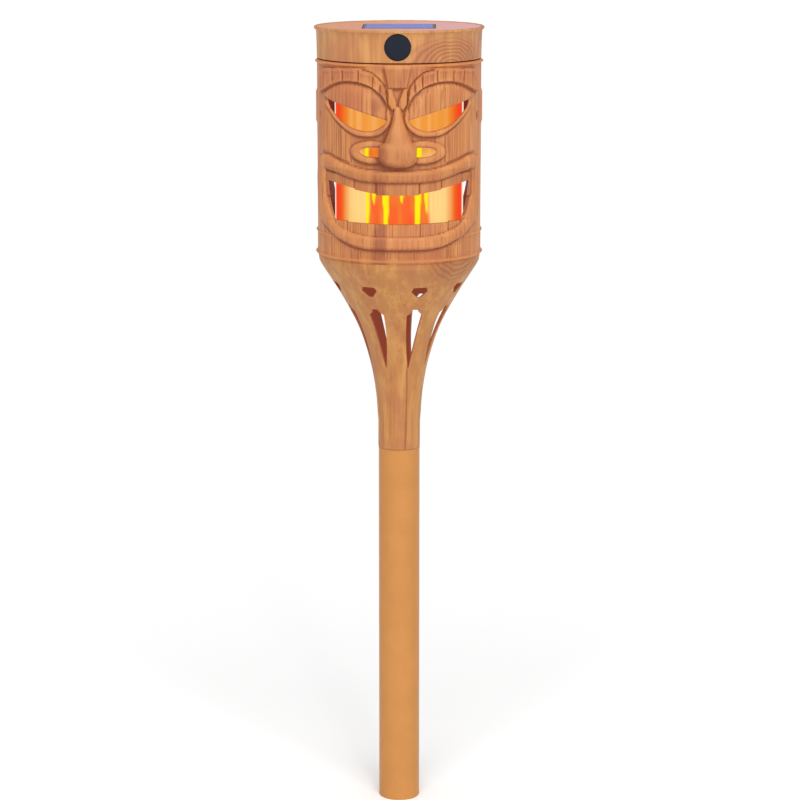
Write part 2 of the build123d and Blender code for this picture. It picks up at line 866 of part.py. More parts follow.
with BuildPart() as controller_chip:
    with BuildSketch(Plane.XY.offset(main_board_top)):
        with Locations((chip_x, board_centre_y)):
            Rectangle(*chip_size)
    extrude(amount=chip_height)
    with BuildSketch(Plane.XY.offset(main_board_top)):
        with Locations((chip_x, board_centre_y)):
            with GridLocations(chip_pin_pitch, chip_pin_span, 4, 2):
                Rectangle(*chip_pin_size)
    extrude(amount=chip_pin_thickness)
controller_chip.part.label = "controller_chip"
export_step(controller_chip.part, "parts/controller_chip.step")

with BuildPart() as boost_inductor:
    with BuildSketch(Plane.XY.offset(main_board_top)):
        with Locations(inductor_place):
            Circle(inductor_flange_radius)
    extrude(amount=inductor_foot)
    with BuildSketch(Plane.XY.offset(main_board_top + inductor_foot)):
        with Locations(inductor_place):
            Circle(inductor_winding_radius)
    extrude(amount=inductor_winding)
    with BuildSketch(Plane.XY.offset(main_board_top + inductor_foot + inductor_winding)):
        with Locations(inductor_place):
            Circle(inductor_flange_radius)
    extrude(amount=inductor_cap)
boost_inductor.part.label = "boost_inductor"
export_step(boost_inductor.part, "parts/boost_inductor.step")

with BuildPart() as filter_capacitor:
    with BuildSketch(Plane.XY.offset(main_board_top)):
        with Locations(capacitor_place):
            Circle(capacitor_radius)
    extrude(amount=capacitor_height)
    chamfer(filter_capacitor.faces().sort_by(Axis.Z)[-1].edges(), length=capacitor_edge)
filter_capacitor.part.label = "filter_capacitor"
export_step(filter_capacitor.part, "parts/filter_capacitor.step")

# ---------------------------------------------------------------- battery

cradle_gap = 0.15
battery_half = battery_length / 2
nub_length = 1.2
nub_radius = 2.7
cell_edge = 0.5
spring_length = 2.5
contact_thickness = 0.4
contact_size = 9.0
end_wall = 2.0
positive_face = battery_half + nub_length
negative_face = -battery_half - spring_length
battery_plane = Plane.YZ.offset(-battery_half)

with BuildPart() as battery_cell:
    with BuildSketch(battery_plane):
        with Locations((battery_y, battery_z)):
            Circle(battery_radius)
    extrude(amount=battery_length)
    chamfer(battery_cell.edges().filter_by(GeomType.CIRCLE), length=cell_edge)
    with BuildSketch(Plane.YZ.offset(battery_half)):
        with Locations((battery_y, battery_z)):
            Circle(nub_radius)
    extrude(amount=nub_length)
battery_cell.part.label = "battery_cell"
export_step(battery_cell.part, "parts/battery_cell.step")

cradle_left = negative_face - contact_thickness - end_wall
cradle_right = positive_face + contact_thickness + end_wall
cradle_width = 17.0
cradle_height = 13.0
with BuildPart() as battery_cradle:
    with BuildSketch(Plane.XY.offset(base_plate_top)):
        with Locations(((cradle_left + cradle_right) / 2, battery_y)):
            Rectangle(cradle_right - cradle_left, cradle_width)
    extrude(amount=cradle_height)
    with BuildSketch(Plane.YZ.offset(negative_face - contact_thickness)):
        with Locations((battery_y, battery_z)):
            Circle(battery_radius + cradle_gap)
            Rectangle(2 * (battery_radius + cradle_gap), cradle_height, align=(Align.CENTER, Align.MIN))
    extrude(amount=positive_face - negative_face + 2 * contact_thickness, mode=Mode.SUBTRACT)
battery_cradle.part.label = "battery_cradle"
export_step(battery_cradle.part, "parts/battery_cradle.step")

with BuildPart() as positive_contact:
    with BuildSketch(Plane.YZ.offset(positive_face)):
        with Locations((battery_y, battery_z)):
            Rectangle(contact_size, contact_size)
    extrude(amount=contact_thickness)
positive_contact.part.label = "positive_contact"
export_step(positive_contact.part, "parts/positive_contact.step")

spring_wire = 0.35
spring_coil = 3.4
spring_pitch = 1.2
spring_rise = spring_length - 2 * spring_wire
with BuildPart() as negative_spring:
    with BuildSketch(Plane.YZ.offset(negative_face - contact_thickness)):
        with Locations((battery_y, battery_z)):
            Rectangle(contact_size, contact_size)
    extrude(amount=contact_thickness)
    with BuildLine() as coil:
        Helix(
            pitch=spring_pitch,
            height=spring_rise,
            radius=spring_coil,
            center=(negative_face + 0.8 * spring_wire, battery_y, battery_z),
            direction=(1, 0, 0),
        )
    with BuildSketch(Plane(origin=coil.line @ 0, z_dir=coil.line % 0)):
        Circle(spring_wire)
    sweep(path=coil.line, is_frenet=True)
negative_spring.part.label = "negative_spring"
export_step(negative_spring.part, "parts/negative_spring.step")

# ---------------------------------------------------------------- lamp column

flex_thickness = 0.3
flex_seam_gap = 1.2
flex_lift = 0.05
led_margin = 4.0
plug_flange = 1.5
plug_length = 5.0
plug_gap = 0.1
floor_gap = 0.05
floor_thickness = 1.6
flex_top = 534.0
flex_bottom = core_bottom + 3.0
led_height = 3.0
led_width = 3.0
led_depth = 0.9
row_pitch = (flex_top - flex_bottom - 2 * led_margin) / (led_rows - 1)

with BuildPart() as led_core:
    with BuildSketch(Plane.XY.offset(core_bottom)):
        Circle(core_radius)
        Circle(core_radius - core_wall, mode=Mode.SUBTRACT)
    extrude(amount=base_plate_bottom - core_bottom)
led_core.part.label = "led_core"
export_step(led_core.part, "parts/led_core.step")

with BuildPart() as core_plug:
    with BuildSketch(Plane.XY.offset(core_bottom - plug_flange)):
        Circle(core_radius)
    extrude(amount=plug_flange)
    with BuildSketch(Plane.XY.offset(core_bottom)):
        Circle(core_radius - core_wall - plug_gap)
    extrude(amount=plug_length)
core_plug.part.label = "core_plug"
export_step(core_plug.part, "parts/core_plug.step")

with BuildPart() as led_flex_board:
    with BuildSketch(Plane.XY.offset(flex_bottom)):
        Circle(core_radius + flex_lift + flex_thickness)
        Circle(core_radius + flex_lift, mode=Mode.SUBTRACT)
        with Locations((0, core_radius)):
            Rectangle(flex_seam_gap, core_radius / 2, mode=Mode.SUBTRACT)
    extrude(amount=flex_top - flex_bottom)
led_flex_board.part.label = "led_flex_board"
export_step(led_flex_board.part, "parts/led_flex_board.step")

led_face = core_radius + flex_thickness + 2 * flex_lift
with BuildPart() as leds:
    for column in range(led_columns):
        column_plane = Plane.XZ.rotated((0, 0, (column + 0.5) * 360 / led_columns))
        with BuildSketch(column_plane.offset(led_face)):
            for row in range(led_rows):
                with Locations((0, flex_bottom + led_margin + row * row_pitch)):
                    Rectangle(led_width, led_height)
        extrude(amount=led_depth)
leds.part.label = "leds"
export_step(leds.part, "parts/leds.step")

with BuildPart() as flame_diffuser:
    with BuildSketch(Plane.XY.offset(diffuser_bottom)):
        Circle(diffuser_radius)
        Circle(diffuser_radius - diffuser_wall, mode=Mode.SUBTRACT)
    extrude(amount=base_plate_bottom - diffuser_bottom)
flame_diffuser.part.label = "flame_diffuser"
export_step(flame_diffuser.part, "parts/flame_diffuser.step")

with BuildPart() as diffuser_floor:
    with BuildSketch(Plane.XY.offset(diffuser_bottom)):
        Circle(diffuser_radius - diffuser_wall - floor_gap)
    extrude(amount=floor_thickness)
diffuser_floor.part.label = "diffuser_floor"
export_step(diffuser_floor.part, "parts/diffuser_floor.step")

# ---------------------------------------------------------------- internal leads

lead_radius = 0.6


def lead_pair(points, radii, spacing):
    """Two parallel leads along one route of straight runs and arcs."""
    with BuildPart() as leads:
        for side in (-spacing, spacing):
            with BuildLine() as route:
                FilletPolyline(*[(x + side, y, z) for x, y, z in points], radius=radii)
            with BuildSketch(Plane(origin=route.line @ 0, z_dir=route.line % 0)):
                Circle(lead_radius)
            sweep(path=route.line)
    return leads.part


with BuildPart() as panel_leads:
    add(
        lead_pair(
            [(0, panel_lead_y, panel_floor), (0, panel_lead_y, 555.0), (0, -17.0, 551.0),
             (0, -17.0, main_board_top)],
            [2.0, 1.0], spacing=1.6,
        )
    )
panel_leads.part.label = "panel_leads"
export_step(panel_leads.part, "parts/panel_leads.step")

with BuildPart() as led_leads:
    add(
        lead_pair(
            [(0, -17.5, board_post_height), (0, -17.5, 545.3), (0, -9.0, 545.3), (0, -1.0, 545.0),
             (0, 0, 536.0), (0, 9.0, 528.0), (0, core_radius - core_wall - 0.15, 527.0)],
            [0.7, 3.0, 2.0, 4.0, 2.0], spacing=1.2,
        )
    )
led_leads.part.label = "led_leads"
export_step(led_leads.part, "parts/led_leads.step")

with BuildPart() as switch_leads:
    add(
        lead_pair(
            [(0, switch_board_back, 555.5), (0, -33.0, 555.5), (0, -33.0, main_board_top)],
            [2.5], spacing=1.6,
        )
    )
switch_leads.part.label = "switch_leads"
export_step(switch_leads.part, "parts/switch_leads.step")
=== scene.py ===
"""Looks of the solar garden torch: a carved-mask lantern, its solar cap, its flared neck and its pole.

Lengths inside the helpers are millimetres, turned to metres when a mesh is made.
"""

import math

import bpy
import numpy as np
from mathutils import Matrix, Vector


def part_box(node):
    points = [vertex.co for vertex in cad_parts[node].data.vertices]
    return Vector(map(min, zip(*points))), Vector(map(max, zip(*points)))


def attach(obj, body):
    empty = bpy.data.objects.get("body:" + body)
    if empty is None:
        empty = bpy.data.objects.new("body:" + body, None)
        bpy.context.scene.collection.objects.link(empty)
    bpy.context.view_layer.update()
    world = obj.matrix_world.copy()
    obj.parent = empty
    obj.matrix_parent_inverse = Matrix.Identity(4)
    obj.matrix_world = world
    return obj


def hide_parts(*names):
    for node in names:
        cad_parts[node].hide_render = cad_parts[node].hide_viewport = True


bl_info = {
    "name": "Solar mask torch",
    "version": (1, 0, 0),
    "blender": (4, 5, 0),
    "location": "View3D > Sidebar > Mask torch",
    "description": "Models the carved lantern, solar cap, neck and pole of a garden torch around its CAD frame",
    "category": "Add Mesh",
}

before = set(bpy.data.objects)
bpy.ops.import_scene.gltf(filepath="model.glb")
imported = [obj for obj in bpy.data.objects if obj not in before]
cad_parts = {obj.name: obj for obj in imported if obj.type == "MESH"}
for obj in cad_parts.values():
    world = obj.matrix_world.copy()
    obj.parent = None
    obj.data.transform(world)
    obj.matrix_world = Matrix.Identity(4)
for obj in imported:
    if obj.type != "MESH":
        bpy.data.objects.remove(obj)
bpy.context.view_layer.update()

MM = 0.001


def node_mm(name):
    """Lowest and highest corner of a CAD node, in millimetres."""
    low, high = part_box(name)
    return [v / MM for v in low], [v / MM for v in high]


SHELL_LOW, SHELL_HIGH = node_mm("face_shell_front")
CAP_LOW = node_mm("cap_shell")[0]
NECK_LOW = node_mm("neck_basket")[0]
BUTTON_LOW = node_mm("power_button")[0]
DIFFUSER_LOW, DIFFUSER_HIGH = node_mm("flame_diffuser")

# ------------------------------------------------------------------ driving sizes, in millimetres

DRUM_RADIUS = 57.2
DRUM_BORE = 54.8
DRUM_BOTTOM = SHELL_LOW[2]
DRUM_TOP = SHELL_HIGH[2]
CAP_RADIUS = 57.5
CAP_WALL = 2.2
CAP_BOTTOM = CAP_LOW[2]
CAP_FLAT = 563.0
RIM_RADIUS = 58.2
RIM_ROLL = 1.05
RIM_HEIGHT = 562.6
PANEL_SIZE = 50.0
PANEL_GAP = 0.5
PANEL_FLOOR = 560.8
BUTTON_CENTRE = 552.4
BUTTON_RADIUS = 8.85
BUTTON_SEAT = 54.9
BUTTON_GAP = 0.35
STEM_RADIUS = 4.1
STEM_BACK = 50.0
PAD_HALF = 11.5
PAD_HEIGHTS = (543.0, 560.5)
PAD_BACK = 52.2
PAD_FRONT = 55.9
MIDDLE_RING = 421.8
TRIM_RINGS = ((539.7, 1.0, 1.25), (MIDDLE_RING, 0.75, 1.1), (406.5, 1.05, 1.0))

# Outlines of the mask's right half, seen from the front: distance from the middle, then height.
EYE_INNER = (7.4, 503.3)
EYE_OUTER = (48.4, 515.6)
EYE_UNDER = (EYE_INNER, (10.3, 499.3), (19.9, 495.3), (34.3, 498.5), (45.6, 508.4), EYE_OUTER)
RIM_UNDER = ((4.6, 503.0), (7.5, 497.3), (14.4, 492.6), (28.5, 492.6), (40.9, 500.7), (50.0, 513.0))
RIM_TIP = ((6.6, 512.6), (5.0, 508.4), (4.6, 503.0))
RIM_BEND = (7.9, 507.6)
BROW_UNDER = ((5.4, 507.5), (9.0, 517.0), (13.8, 522.4), (20.2, 526.4), (28.5, 528.6), (37.0, 528.4),
              (44.7, 525.5), (53.4, 519.3))
BROW_OVER = ((53.6, 529.0), (51.4, 536.6), (36.0, 538.0), (24.8, 538.4), (24.0, 536.9), (17.4, 535.4),
             (12.2, 531.0), (8.2, 526.0), (6.6, 514.0))
BROW_JOINTS = (11.2, 16.4, 26.2, 37.2, 44.2)
UPPER_LIP_OVER = ((0.0, 469.2), (12.0, 469.2), (24.0, 470.0), (32.6, 471.8), (41.5, 474.8), (48.0, 477.6),
                  (51.6, 477.4))
UPPER_LIP_UNDER = ((49.0, 467.2), (41.0, 465.6), (32.0, 463.0), (24.0, 461.2), (12.0, 460.5), (0.0, 460.5))
LOWER_LIP_OVER = ((0.0, 423.6), (14.6, 423.8), (22.0, 424.3), (30.6, 425.7), (39.5, 429.2), (44.5, 434.0))
LOWER_LIP_UNDER = ((50.0, 428.0), (44.0, 422.2), (38.4, 419.3), (31.0, 416.2), (22.0, 414.6), (12.0, 414.3),
                   (0.0, 414.3))
MOUTH_SIDE = ((48.3, 460.0), (47.3, 450.5), (45.6, 441.5), (43.1, 432.8))
TEETH_UPPER = ((0.0, 452.4), (14.7, 452.4), (14.7, 453.2), (29.6, 455.5), (29.6, 456.2))
TEETH_LOWER = ((34.4, 433.2), (34.4, 432.4), (15.4, 432.4), (15.4, 432.1), (0.0, 432.1))
UPPER_TOOTH_GAPS = (14.7, 29.6)
LOWER_TOOTH_GAPS = (15.4, 34.4)
NOSTRIL_MIDDLE = (17.0, 481.4)
NOSTRIL_INNER = 13.0
NOSE_MIDDLE = 480.5
NOSE_HALF = (13.9, 9.5)
NOSTRIL_RIM = (15.6, 7.9)

# Neck
FLARE = ((14.9, 264.1), (14.9, 283.0), (16.9, 306.6), (21.5, 330.1), (29.3, 353.4), (41.7, 376.6),
         (54.9, 397.5), (56.8, 403.0), (56.8, 404.4))
NECK_WALL = 2.0
STAVES = 8
FIRST_WINDOW = 19.0
LINING_REACH = 175.0


# ------------------------------------------------------------------ small helpers


def deselect():
    """Leaves nothing selected, so that the next operator acts on its own piece alone."""
    if bpy.context.object and bpy.context.object.mode != "OBJECT":
        bpy.ops.object.mode_set(mode="OBJECT")
    bpy.ops.object.select_all(action="DESELECT")


def activate(obj):
    """Selects one object and makes it the active one."""
    deselect()
    obj.select_set(True)
    bpy.context.view_layer.objects.active = obj


def mesh_object(name, verts, faces):
    """A new object from millimetre points and faces."""
    mesh = bpy.data.meshes.new(name)
    mesh.from_pydata([tuple(float(c) * MM for c in v) for v in verts], [], faces)
    mesh.update()
    obj = bpy.data.objects.new(name, mesh)
    bpy.context.scene.collection.objects.link(obj)
    return obj


def apply_modifier(obj, kind, **settings):
    """Adds one modifier with these settings and applies it."""
    activate(obj)
    modifier = obj.modifiers.new(kind.title(), kind)
    for key, value in settings.items():
        setattr(modifier, key, value)
    bpy.ops.object.modifier_apply(modifier=modifier.name)


def subtract(obj, cutter):
    """Cuts the cutter out of the piece, then deletes the cutter."""
    apply_modifier(obj, "BOOLEAN", operation="DIFFERENCE", solver="MANIFOLD", object=cutter)
    bpy.data.objects.remove(cutter, do_unlink=True)


def join_solid(obj, extra):
    """Fuses another closed solid into the piece, then deletes it."""
    apply_modifier(obj, "BOOLEAN", operation="UNION", solver="MANIFOLD", object=extra)
    bpy.data.objects.remove(extra, do_unlink=True)


def smooth(obj, degrees=35.0):
    """Smooth shading that keeps edges sharper than this angle."""
    activate(obj)
    bpy.ops.object.shade_smooth_by_angle(angle=math.radians(degrees))


def outward(obj):
    """Merges doubles and turns every face outwards."""
    activate(obj)
    bpy.ops.object.mode_set(mode="EDIT")
    bpy.ops.mesh.select_all(action="SELECT")
    bpy.ops.mesh.remove_doubles(threshold=0.00001)
    bpy.ops.mesh.delete_loose()
    bpy.ops.mesh.select_all(action="SELECT")
    bpy.ops.mesh.normals_make_consistent(inside=False)
    bpy.ops.object.mode_set(mode="OBJECT")


def curve_through(points, per_span=8):
    """A smooth line through these points."""
    pts = np.array(points, float)
    ends = np.vstack([2 * pts[0] - pts[1], pts, 2 * pts[-1] - pts[-2]])
    line = []
    for a, b, c, d in zip(ends[:-3], ends[1:-2], ends[2:-1], ends[3:]):
        for t in np.linspace(0.0, 1.0, per_span, endpoint=False):
            line.append(0.5 * (2 * b + (c - a) * t + (2 * a - 5 * b + 4 * c - d) * t ** 2
                               + (3 * b - a - 3 * c + d) * t ** 3))
    line.append(pts[-1])
    return np.array(line)


def lathe(name, profile, steps=192):
    """A closed ring of the profile (radius, height), spun once round the upright axis."""
    obj = mesh_object(name, [(r, 0.0, z) for r, z in profile], [])
    mesh = obj.data
    mesh.edges.add(len(profile))
    for i, edge in enumerate(mesh.edges):
        edge.vertices = (i, (i + 1) % len(profile))
    activate(obj)
    bpy.ops.object.mode_set(mode="EDIT")
    bpy.ops.mesh.select_all(action="SELECT")
    bpy.ops.mesh.spin(steps=steps, angle=2 * math.pi, center=(0, 0, 0), axis=(0, 0, 1))
    bpy.ops.object.mode_set(mode="OBJECT")
    outward(obj)
    return obj


def prism(name, outline, near, far, turn=0.0):
    """A closed prism of a front-view outline, from near to far in front of the axis, turned about it."""
    count = len(outline)
    verts = [(x, -near, z) for x, z in outline] + [(x, -far, z) for x, z in outline]
    faces = [tuple(range(count)), tuple(reversed(range(count, 2 * count)))]
    faces += [(i, count + i, count + (i + 1) % count, (i + 1) % count) for i in range(count)]
    angle = math.radians(turn)
    spun = [(x * math.cos(angle) - y * math.sin(angle), x * math.sin(angle) + y * math.cos(angle), z)
            for x, y, z in verts]
    obj = mesh_object(name, spun, faces)
    outward(obj)
    return obj


def circle_outline(radius, height, count):
    """A circle about the face's middle line, at this height."""
    return [(radius * math.cos(t), height + radius * math.sin(t))
            for t in np.linspace(0, 2 * math.pi, count, endpoint=False)]


def vertex_places(mesh):
    """Every vertex of a mesh as a row of x, y and z, in metres."""
    co = np.zeros(len(mesh.vertices) * 3)
    mesh.vertices.foreach_get("co", co)
    return co.reshape(-1, 3)


def round_axis(co):
    """Angle off the face's middle, and distance from the axis, of each row of places."""
    return np.arctan2(co[:, 0], -co[:, 1]), np.hypot(co[:, 0], co[:, 1])


def store_colours(mesh, name, values):
    """Keeps one colour for each vertex under this attribute name."""
    layer = mesh.attributes.new(name, "FLOAT_COLOR", "POINT")
    layer.data.foreach_set("color", values.ravel())


def mirrored(outline):
    """The same outline on the other side of the face."""
    return [(-x, z) for x, z in outline]


# ------------------------------------------------------------------ outlines


def eye_outline():
    """Opening of the right eye: a straight lid line and a rounded lower edge."""
    return [tuple(p) for p in curve_through(EYE_UNDER)]


def nostril_outline():
    """Opening beside the nose: straight under the nose, round at its outer end."""
    x0, z0 = NOSTRIL_MIDDLE
    round_end = [(x0 + 9.2 * math.sin(t), z0 - 3.5 * math.cos(t)) for t in np.linspace(0.0, math.pi, 15)]
    return [(NOSTRIL_INNER, z0 - 3.5)] + round_end + [(NOSTRIL_INNER, z0 + 3.5)]


def mouth_outline():
    """The whole mouth opening, between the two rows of teeth."""
    upper = list(TEETH_UPPER[1:])
    side = [tuple(p) for p in curve_through(MOUTH_SIDE, 4)]
    lower = list(TEETH_LOWER[:-1])
    right = upper + side + lower
    return right + mirrored(reversed(right))


# ------------------------------------------------------------------ relief of the mask


def ramp(value, low, high):
    """0 below low, 1 above high, and smooth between."""
    t = np.clip((value - low) / (high - low), 0.0, 1.0)
    return t * t * (3 - 2 * t)


def inside(x, z, outline):
    """Distance inside a closed outline, negative outside it; a side along the face's middle is no edge."""
    pts = np.array(outline, float)
    nxt = np.roll(pts, -1, axis=0)
    best = np.full(x.shape, 1e9)
    within = np.zeros(x.shape, bool)
    for (ax, az), (bx, bz) in zip(pts, nxt):
        if ax == 0.0 and bx == 0.0:
            continue
        dx, dz = bx - ax, bz - az
        length = dx * dx + dz * dz
        if length < 1e-12:
            continue
        t = np.clip(((x - ax) * dx + (z - az) * dz) / length, 0.0, 1.0)
        best = np.minimum(best, np.hypot(x - ax - t * dx, z - az - t * dz))
        crosses = ((az > z) != (bz > z)) & (x < dx * (z - az) / (dz if dz else 1e-12) + ax)
        within ^= crosses
    return np.where(within, best, -best)


def wobble(u, seed, step=1.0):
    """Smooth random wave of one coordinate, from about -1 to 1."""
    flat = u.ravel()
    low = math.floor(flat.min() / step) - 1
    count = int((flat.max() - flat.min()) / step) + 4
    knots = np.random.default_rng(seed).uniform(-1.0, 1.0, count)
    place = flat / step - low
    whole = np.floor(place).astype(int)
    t = place - whole
    t = t * t * (3 - 2 * t)
    return (knots[whole] * (1 - t) + knots[np.minimum(whole + 1, count - 1)] * t).reshape(u.shape)


def wobble2(u, v, seed, step_u, step_v):
    """Smooth random field of two coordinates."""
    rng = np.random.default_rng(seed)
    pu = (u - u.min()) / step_u
    pv = (v - v.min()) / step_v
    grid = rng.uniform(-1.0, 1.0, (int(pu.max()) + 3, int(pv.max()) + 3))
    iu, iv = np.floor(pu).astype(int), np.floor(pv).astype(int)
    tu, tv = pu - iu, pv - iv
    tu, tv = tu * tu * (3 - 2 * tu), tv * tv * (3 - 2 * tv)
    low = grid[iu, iv] * (1 - tu) + grid[iu + 1, iv] * tu
    high = grid[iu, iv + 1] * (1 - tu) + grid[iu + 1, iv + 1] * tu
    return low * (1 - tv) + high * tv


def grooves(arc, z, seed, pitch, depth):
    """Upright tool marks: irregular narrow grooves that drift a little with height."""
    drift = wobble2(arc, z, seed + 1, 9.0, 22.0) * 0.45
    place = (arc + drift) / pitch + wobble(arc, seed + 2, pitch * 2.2) * 0.32
    wave = np.abs((place % 1.0) - 0.5) * 2.0
    strength = 0.55 + 0.45 * wobble2(arc, z, seed + 3, pitch * 1.5, 16.0)
    return -depth * ramp(wave, 0.62, 1.0) * np.clip(strength, 0.08, 1.0)


def roll(depth_in, width):
    """Round-backed moulding: 0 at its edges, 1 along its middle."""
    t = np.clip(depth_in / width, 0.0, 1.0)
    return np.sqrt(np.clip(1.0 - (1.0 - t) ** 2, 0.0, 1.0))


def mask_height(angle, z):
    """Height of the carving above the drum, in millimetres, at an angle off the face's middle."""
    side = np.sin(angle) * DRUM_RADIUS
    arc = angle * DRUM_RADIUS
    x = np.abs(side)
    shape = bpy.context.scene.torch_shape
    marks = shape.mark_depth
    height = 0.10 * wobble2(arc, z, 11, 14.0, 18.0)
    height += marks * grooves(arc, z, 20, 3.1, 0.16)

    # eye sockets: dished under the brow, with a swelling ribbed lid
    socket = list(curve_through(BROW_UNDER)) + list(reversed(curve_through(RIM_UNDER)))
    in_socket = inside(x, z, socket)
    lid_line = EYE_INNER[1] + (x - EYE_INNER[0]) * (EYE_OUTER[1] - EYE_INNER[1]) / (EYE_OUTER[0] - EYE_INNER[0])
    above_lid = z - lid_line
    lid = ramp(in_socket, 0.0, 0.7) * ramp(above_lid, -0.9, -0.2)
    swell = -1.3 + 3.0 * roll(in_socket, 8.5)
    lid_shape = swell + marks * grooves(arc, z, 40, 3.4, 0.55) - 0.5 * ramp(above_lid, 1.6, 0.0)
    height = height * (1 - lid) + lid_shape * lid

    # raised rim that runs under each eye
    rim_outline = list(curve_through(RIM_TIP + RIM_UNDER[1:])) + list(reversed(curve_through(EYE_UNDER))) + [RIM_BEND]
    in_rim = inside(x, z, rim_outline)
    rim_mask = ramp(in_rim, -0.25, 0.35)
    height = height * (1 - rim_mask) + (0.5 + 1.5 * roll(in_rim, 1.9)) * rim_mask

    # planked brow
    brow = list(curve_through(BROW_UNDER, 4)) + list(BROW_OVER)
    in_brow = inside(x, z, brow)
    joints = np.array(BROW_JOINTS)
    lean = x - 0.10 * (z - 531.0) * ((x - 26.0) / 26.0)
    plank = np.searchsorted(joints, lean)
    plank_rise = np.random.default_rng(5).uniform(-0.3, 0.35, len(joints) + 1)[plank]
    joint_gap = np.min(np.abs(lean[..., None] - joints), axis=-1)
    brow_shape = shape.brow_rise / MM + plank_rise + 0.55 * ramp(in_brow, 3.5, 0.0)
    brow_shape = brow_shape + marks * grooves(arc, z, 60, 2.1, 0.42)
    brow_shape -= 0.95 * ramp(joint_gap, 0.75, 0.15)
    brow_mask = ramp(in_brow, -0.1, 0.65)
    height = height * (1 - brow_mask) + brow_shape * brow_mask

    # shallow field between the block and the brows
    field = ramp(x, 24.0, 18.0) * ramp(z, 520.0, 524.0) * ramp(in_brow, 0.0, -0.5)
    height = height * (1 - field) + 0.95 * field

    # block over the nose, the notch under it and the two leaves that meet below the notch
    block = inside(x, z, [(-9.5, 541.0), (9.6, 541.0), (6.2, 525.2), (-6.2, 525.2)])
    block_mask = ramp(block, -0.1, 0.6)
    height = height * (1 - block_mask) + (2.1 + 0.10 * wobble(arc, 70, 1.4)) * block_mask
    leaf = inside(x, z, [(3.9, 524.4), (6.6, 525.0), (6.4, 514.0), (3.6, 509.6), (0.5, 512.8), (1.0, 517.0)])
    leaf_mask = ramp(leaf, -0.1, 0.5)
    height = height * (1 - leaf_mask) + (1.0 + 0.9 * roll(leaf, 1.8)) * leaf_mask
    notch = inside(x, z, [(-4.0, 524.9), (3.8, 524.9), (0.3, 514.4), (-0.3, 514.4)])
    notch_mask = ramp(notch, -0.1, 0.5)
    height = height * (1 - notch_mask) - 0.9 * notch_mask

    # nose: a ridge that spreads into a broad ball
    drop = np.clip((512.5 - z) / 26.0, 0.0, 1.0)
    ridge_half = 2.6 + 8.2 * drop ** 1.5
    ridge_rise = 2.0 + 4.2 * drop
    ridge_mask = ramp(513.2 - z, 0.0, 1.2) * ramp(z, 478.0, 484.0)
    ridge = ridge_rise * np.clip(1.0 - (x / ridge_half) ** 2.2, 0.0, 1.0) ** 0.75 * ridge_mask
    height = np.maximum(height, ridge)
    ball = 1.0 - (x / NOSE_HALF[0]) ** 2.6 - (np.abs(z - NOSE_MIDDLE) / NOSE_HALF[1]) ** 2.3
    ball_rise = shape.nose_rise / MM * np.clip(ball, 0.0, 1.0) ** 0.36

    # rims round the nostrils
    ring = 1.0 - np.hypot((x - NOSTRIL_MIDDLE[0]) / NOSTRIL_RIM[0], (z - NOSTRIL_MIDDLE[1]) / NOSTRIL_RIM[1])
    ring_in = ring * NOSTRIL_RIM[1]
    ring_mask = ramp(ring_in, -0.1, 0.35)
    ring_shape = 0.2 + 2.1 * roll(ring_in, 2.3) - 0.8 * ramp(ring_in, 2.6, 4.6)
    height = np.where(ring_mask > 0, height * (1 - ring_mask) + np.maximum(height, ring_shape) * ring_mask, height)
    height = np.maximum(height, ball_rise)

    # cheeks: deep upright flutes, stopped by a line beside the nostril
    cheek = [(31.8, 492.0), (41.4, 499.5), (50.0, 509.0), (53.0, 508.0), (53.0, 480.0), (47.5, 479.0),
             (41.0, 476.4), (31.4, 473.2)]
    in_cheek = inside(x, z, cheek)
    cheek_mask = ramp(in_cheek, -0.1, 0.6)
    fluting = np.where(side < 0, 0.95, 0.40)
    cheek_shape = 0.55 + marks * grooves(arc, z, 80, 2.5, 1.0) * fluting - 0.75 * ramp(x, 33.2, 32.0)
    height = height * (1 - cheek_mask) + cheek_shape * cheek_mask

    # teeth behind the lips
    upper_teeth = ramp(z, 449.0, 450.0) * ramp(x, 50.0, 49.0) * ramp(466.0 - z, 0.0, 1.0)
    gap = np.min(np.abs(x[..., None] - np.array(UPPER_TOOTH_GAPS)), axis=-1)
    tooth_shape = 0.9 + 0.35 * ramp(z, 462.0, 452.0) + marks * grooves(arc, z, 90, 2.0, 0.35)
    tooth_shape -= 0.9 * ramp(gap, 0.8, 0.1)
    low_gap = np.min(np.abs(x[..., None] - np.array(LOWER_TOOTH_GAPS)), axis=-1)
    low_shape = 0.8 + marks * grooves(arc, z, 95, 1.9, 0.42) - 0.5 * ramp(low_gap, 0.7, 0.1)
    lower_teeth = ramp(z, 421.5, 423.0) * ramp(436.0 - z, 0.0, 0.5) * ramp(x, 46.5, 45.5)
    height = height * (1 - upper_teeth) + tooth_shape * upper_teeth
    height = height * (1 - lower_teeth) + low_shape * lower_teeth

    # lips: one rolled moulding round the whole mouth
    outer = list(curve_through(UPPER_LIP_OVER)) + [(55.0, 474.0), (55.6, 460.0), (55.2, 440.0), (53.5, 431.0)]
    outer += list(curve_through(LOWER_LIP_UNDER))
    hole = list(curve_through(LOWER_LIP_OVER)) + [(46.6, 441.0), (48.6, 450.5), (49.4, 460.0)]
    hole += list(curve_through(UPPER_LIP_UNDER))
    in_lip = np.minimum(inside(x, z, outer), -inside(x, z, hole))
    lip_mask = ramp(in_lip, -0.2, 0.5)
    lip_shape = 0.4 + shape.lip_rise / MM * roll(in_lip, 3.6) + marks * grooves(arc, z, 100, 3.6, 0.30)
    height = height * (1 - lip_mask) + lip_shape * lip_mask

    # chin: close upright grooves between the lower lip and the bottom ring
    chin = ramp(z, 407.2, 408.0) * ramp(in_lip, -0.2, -0.8) * ramp(422.0 - z, 0.0, 0.8)
    height = height * (1 - chin) + (0.15 + marks * grooves(arc, z, 110, 2.2, 0.5)) * chin

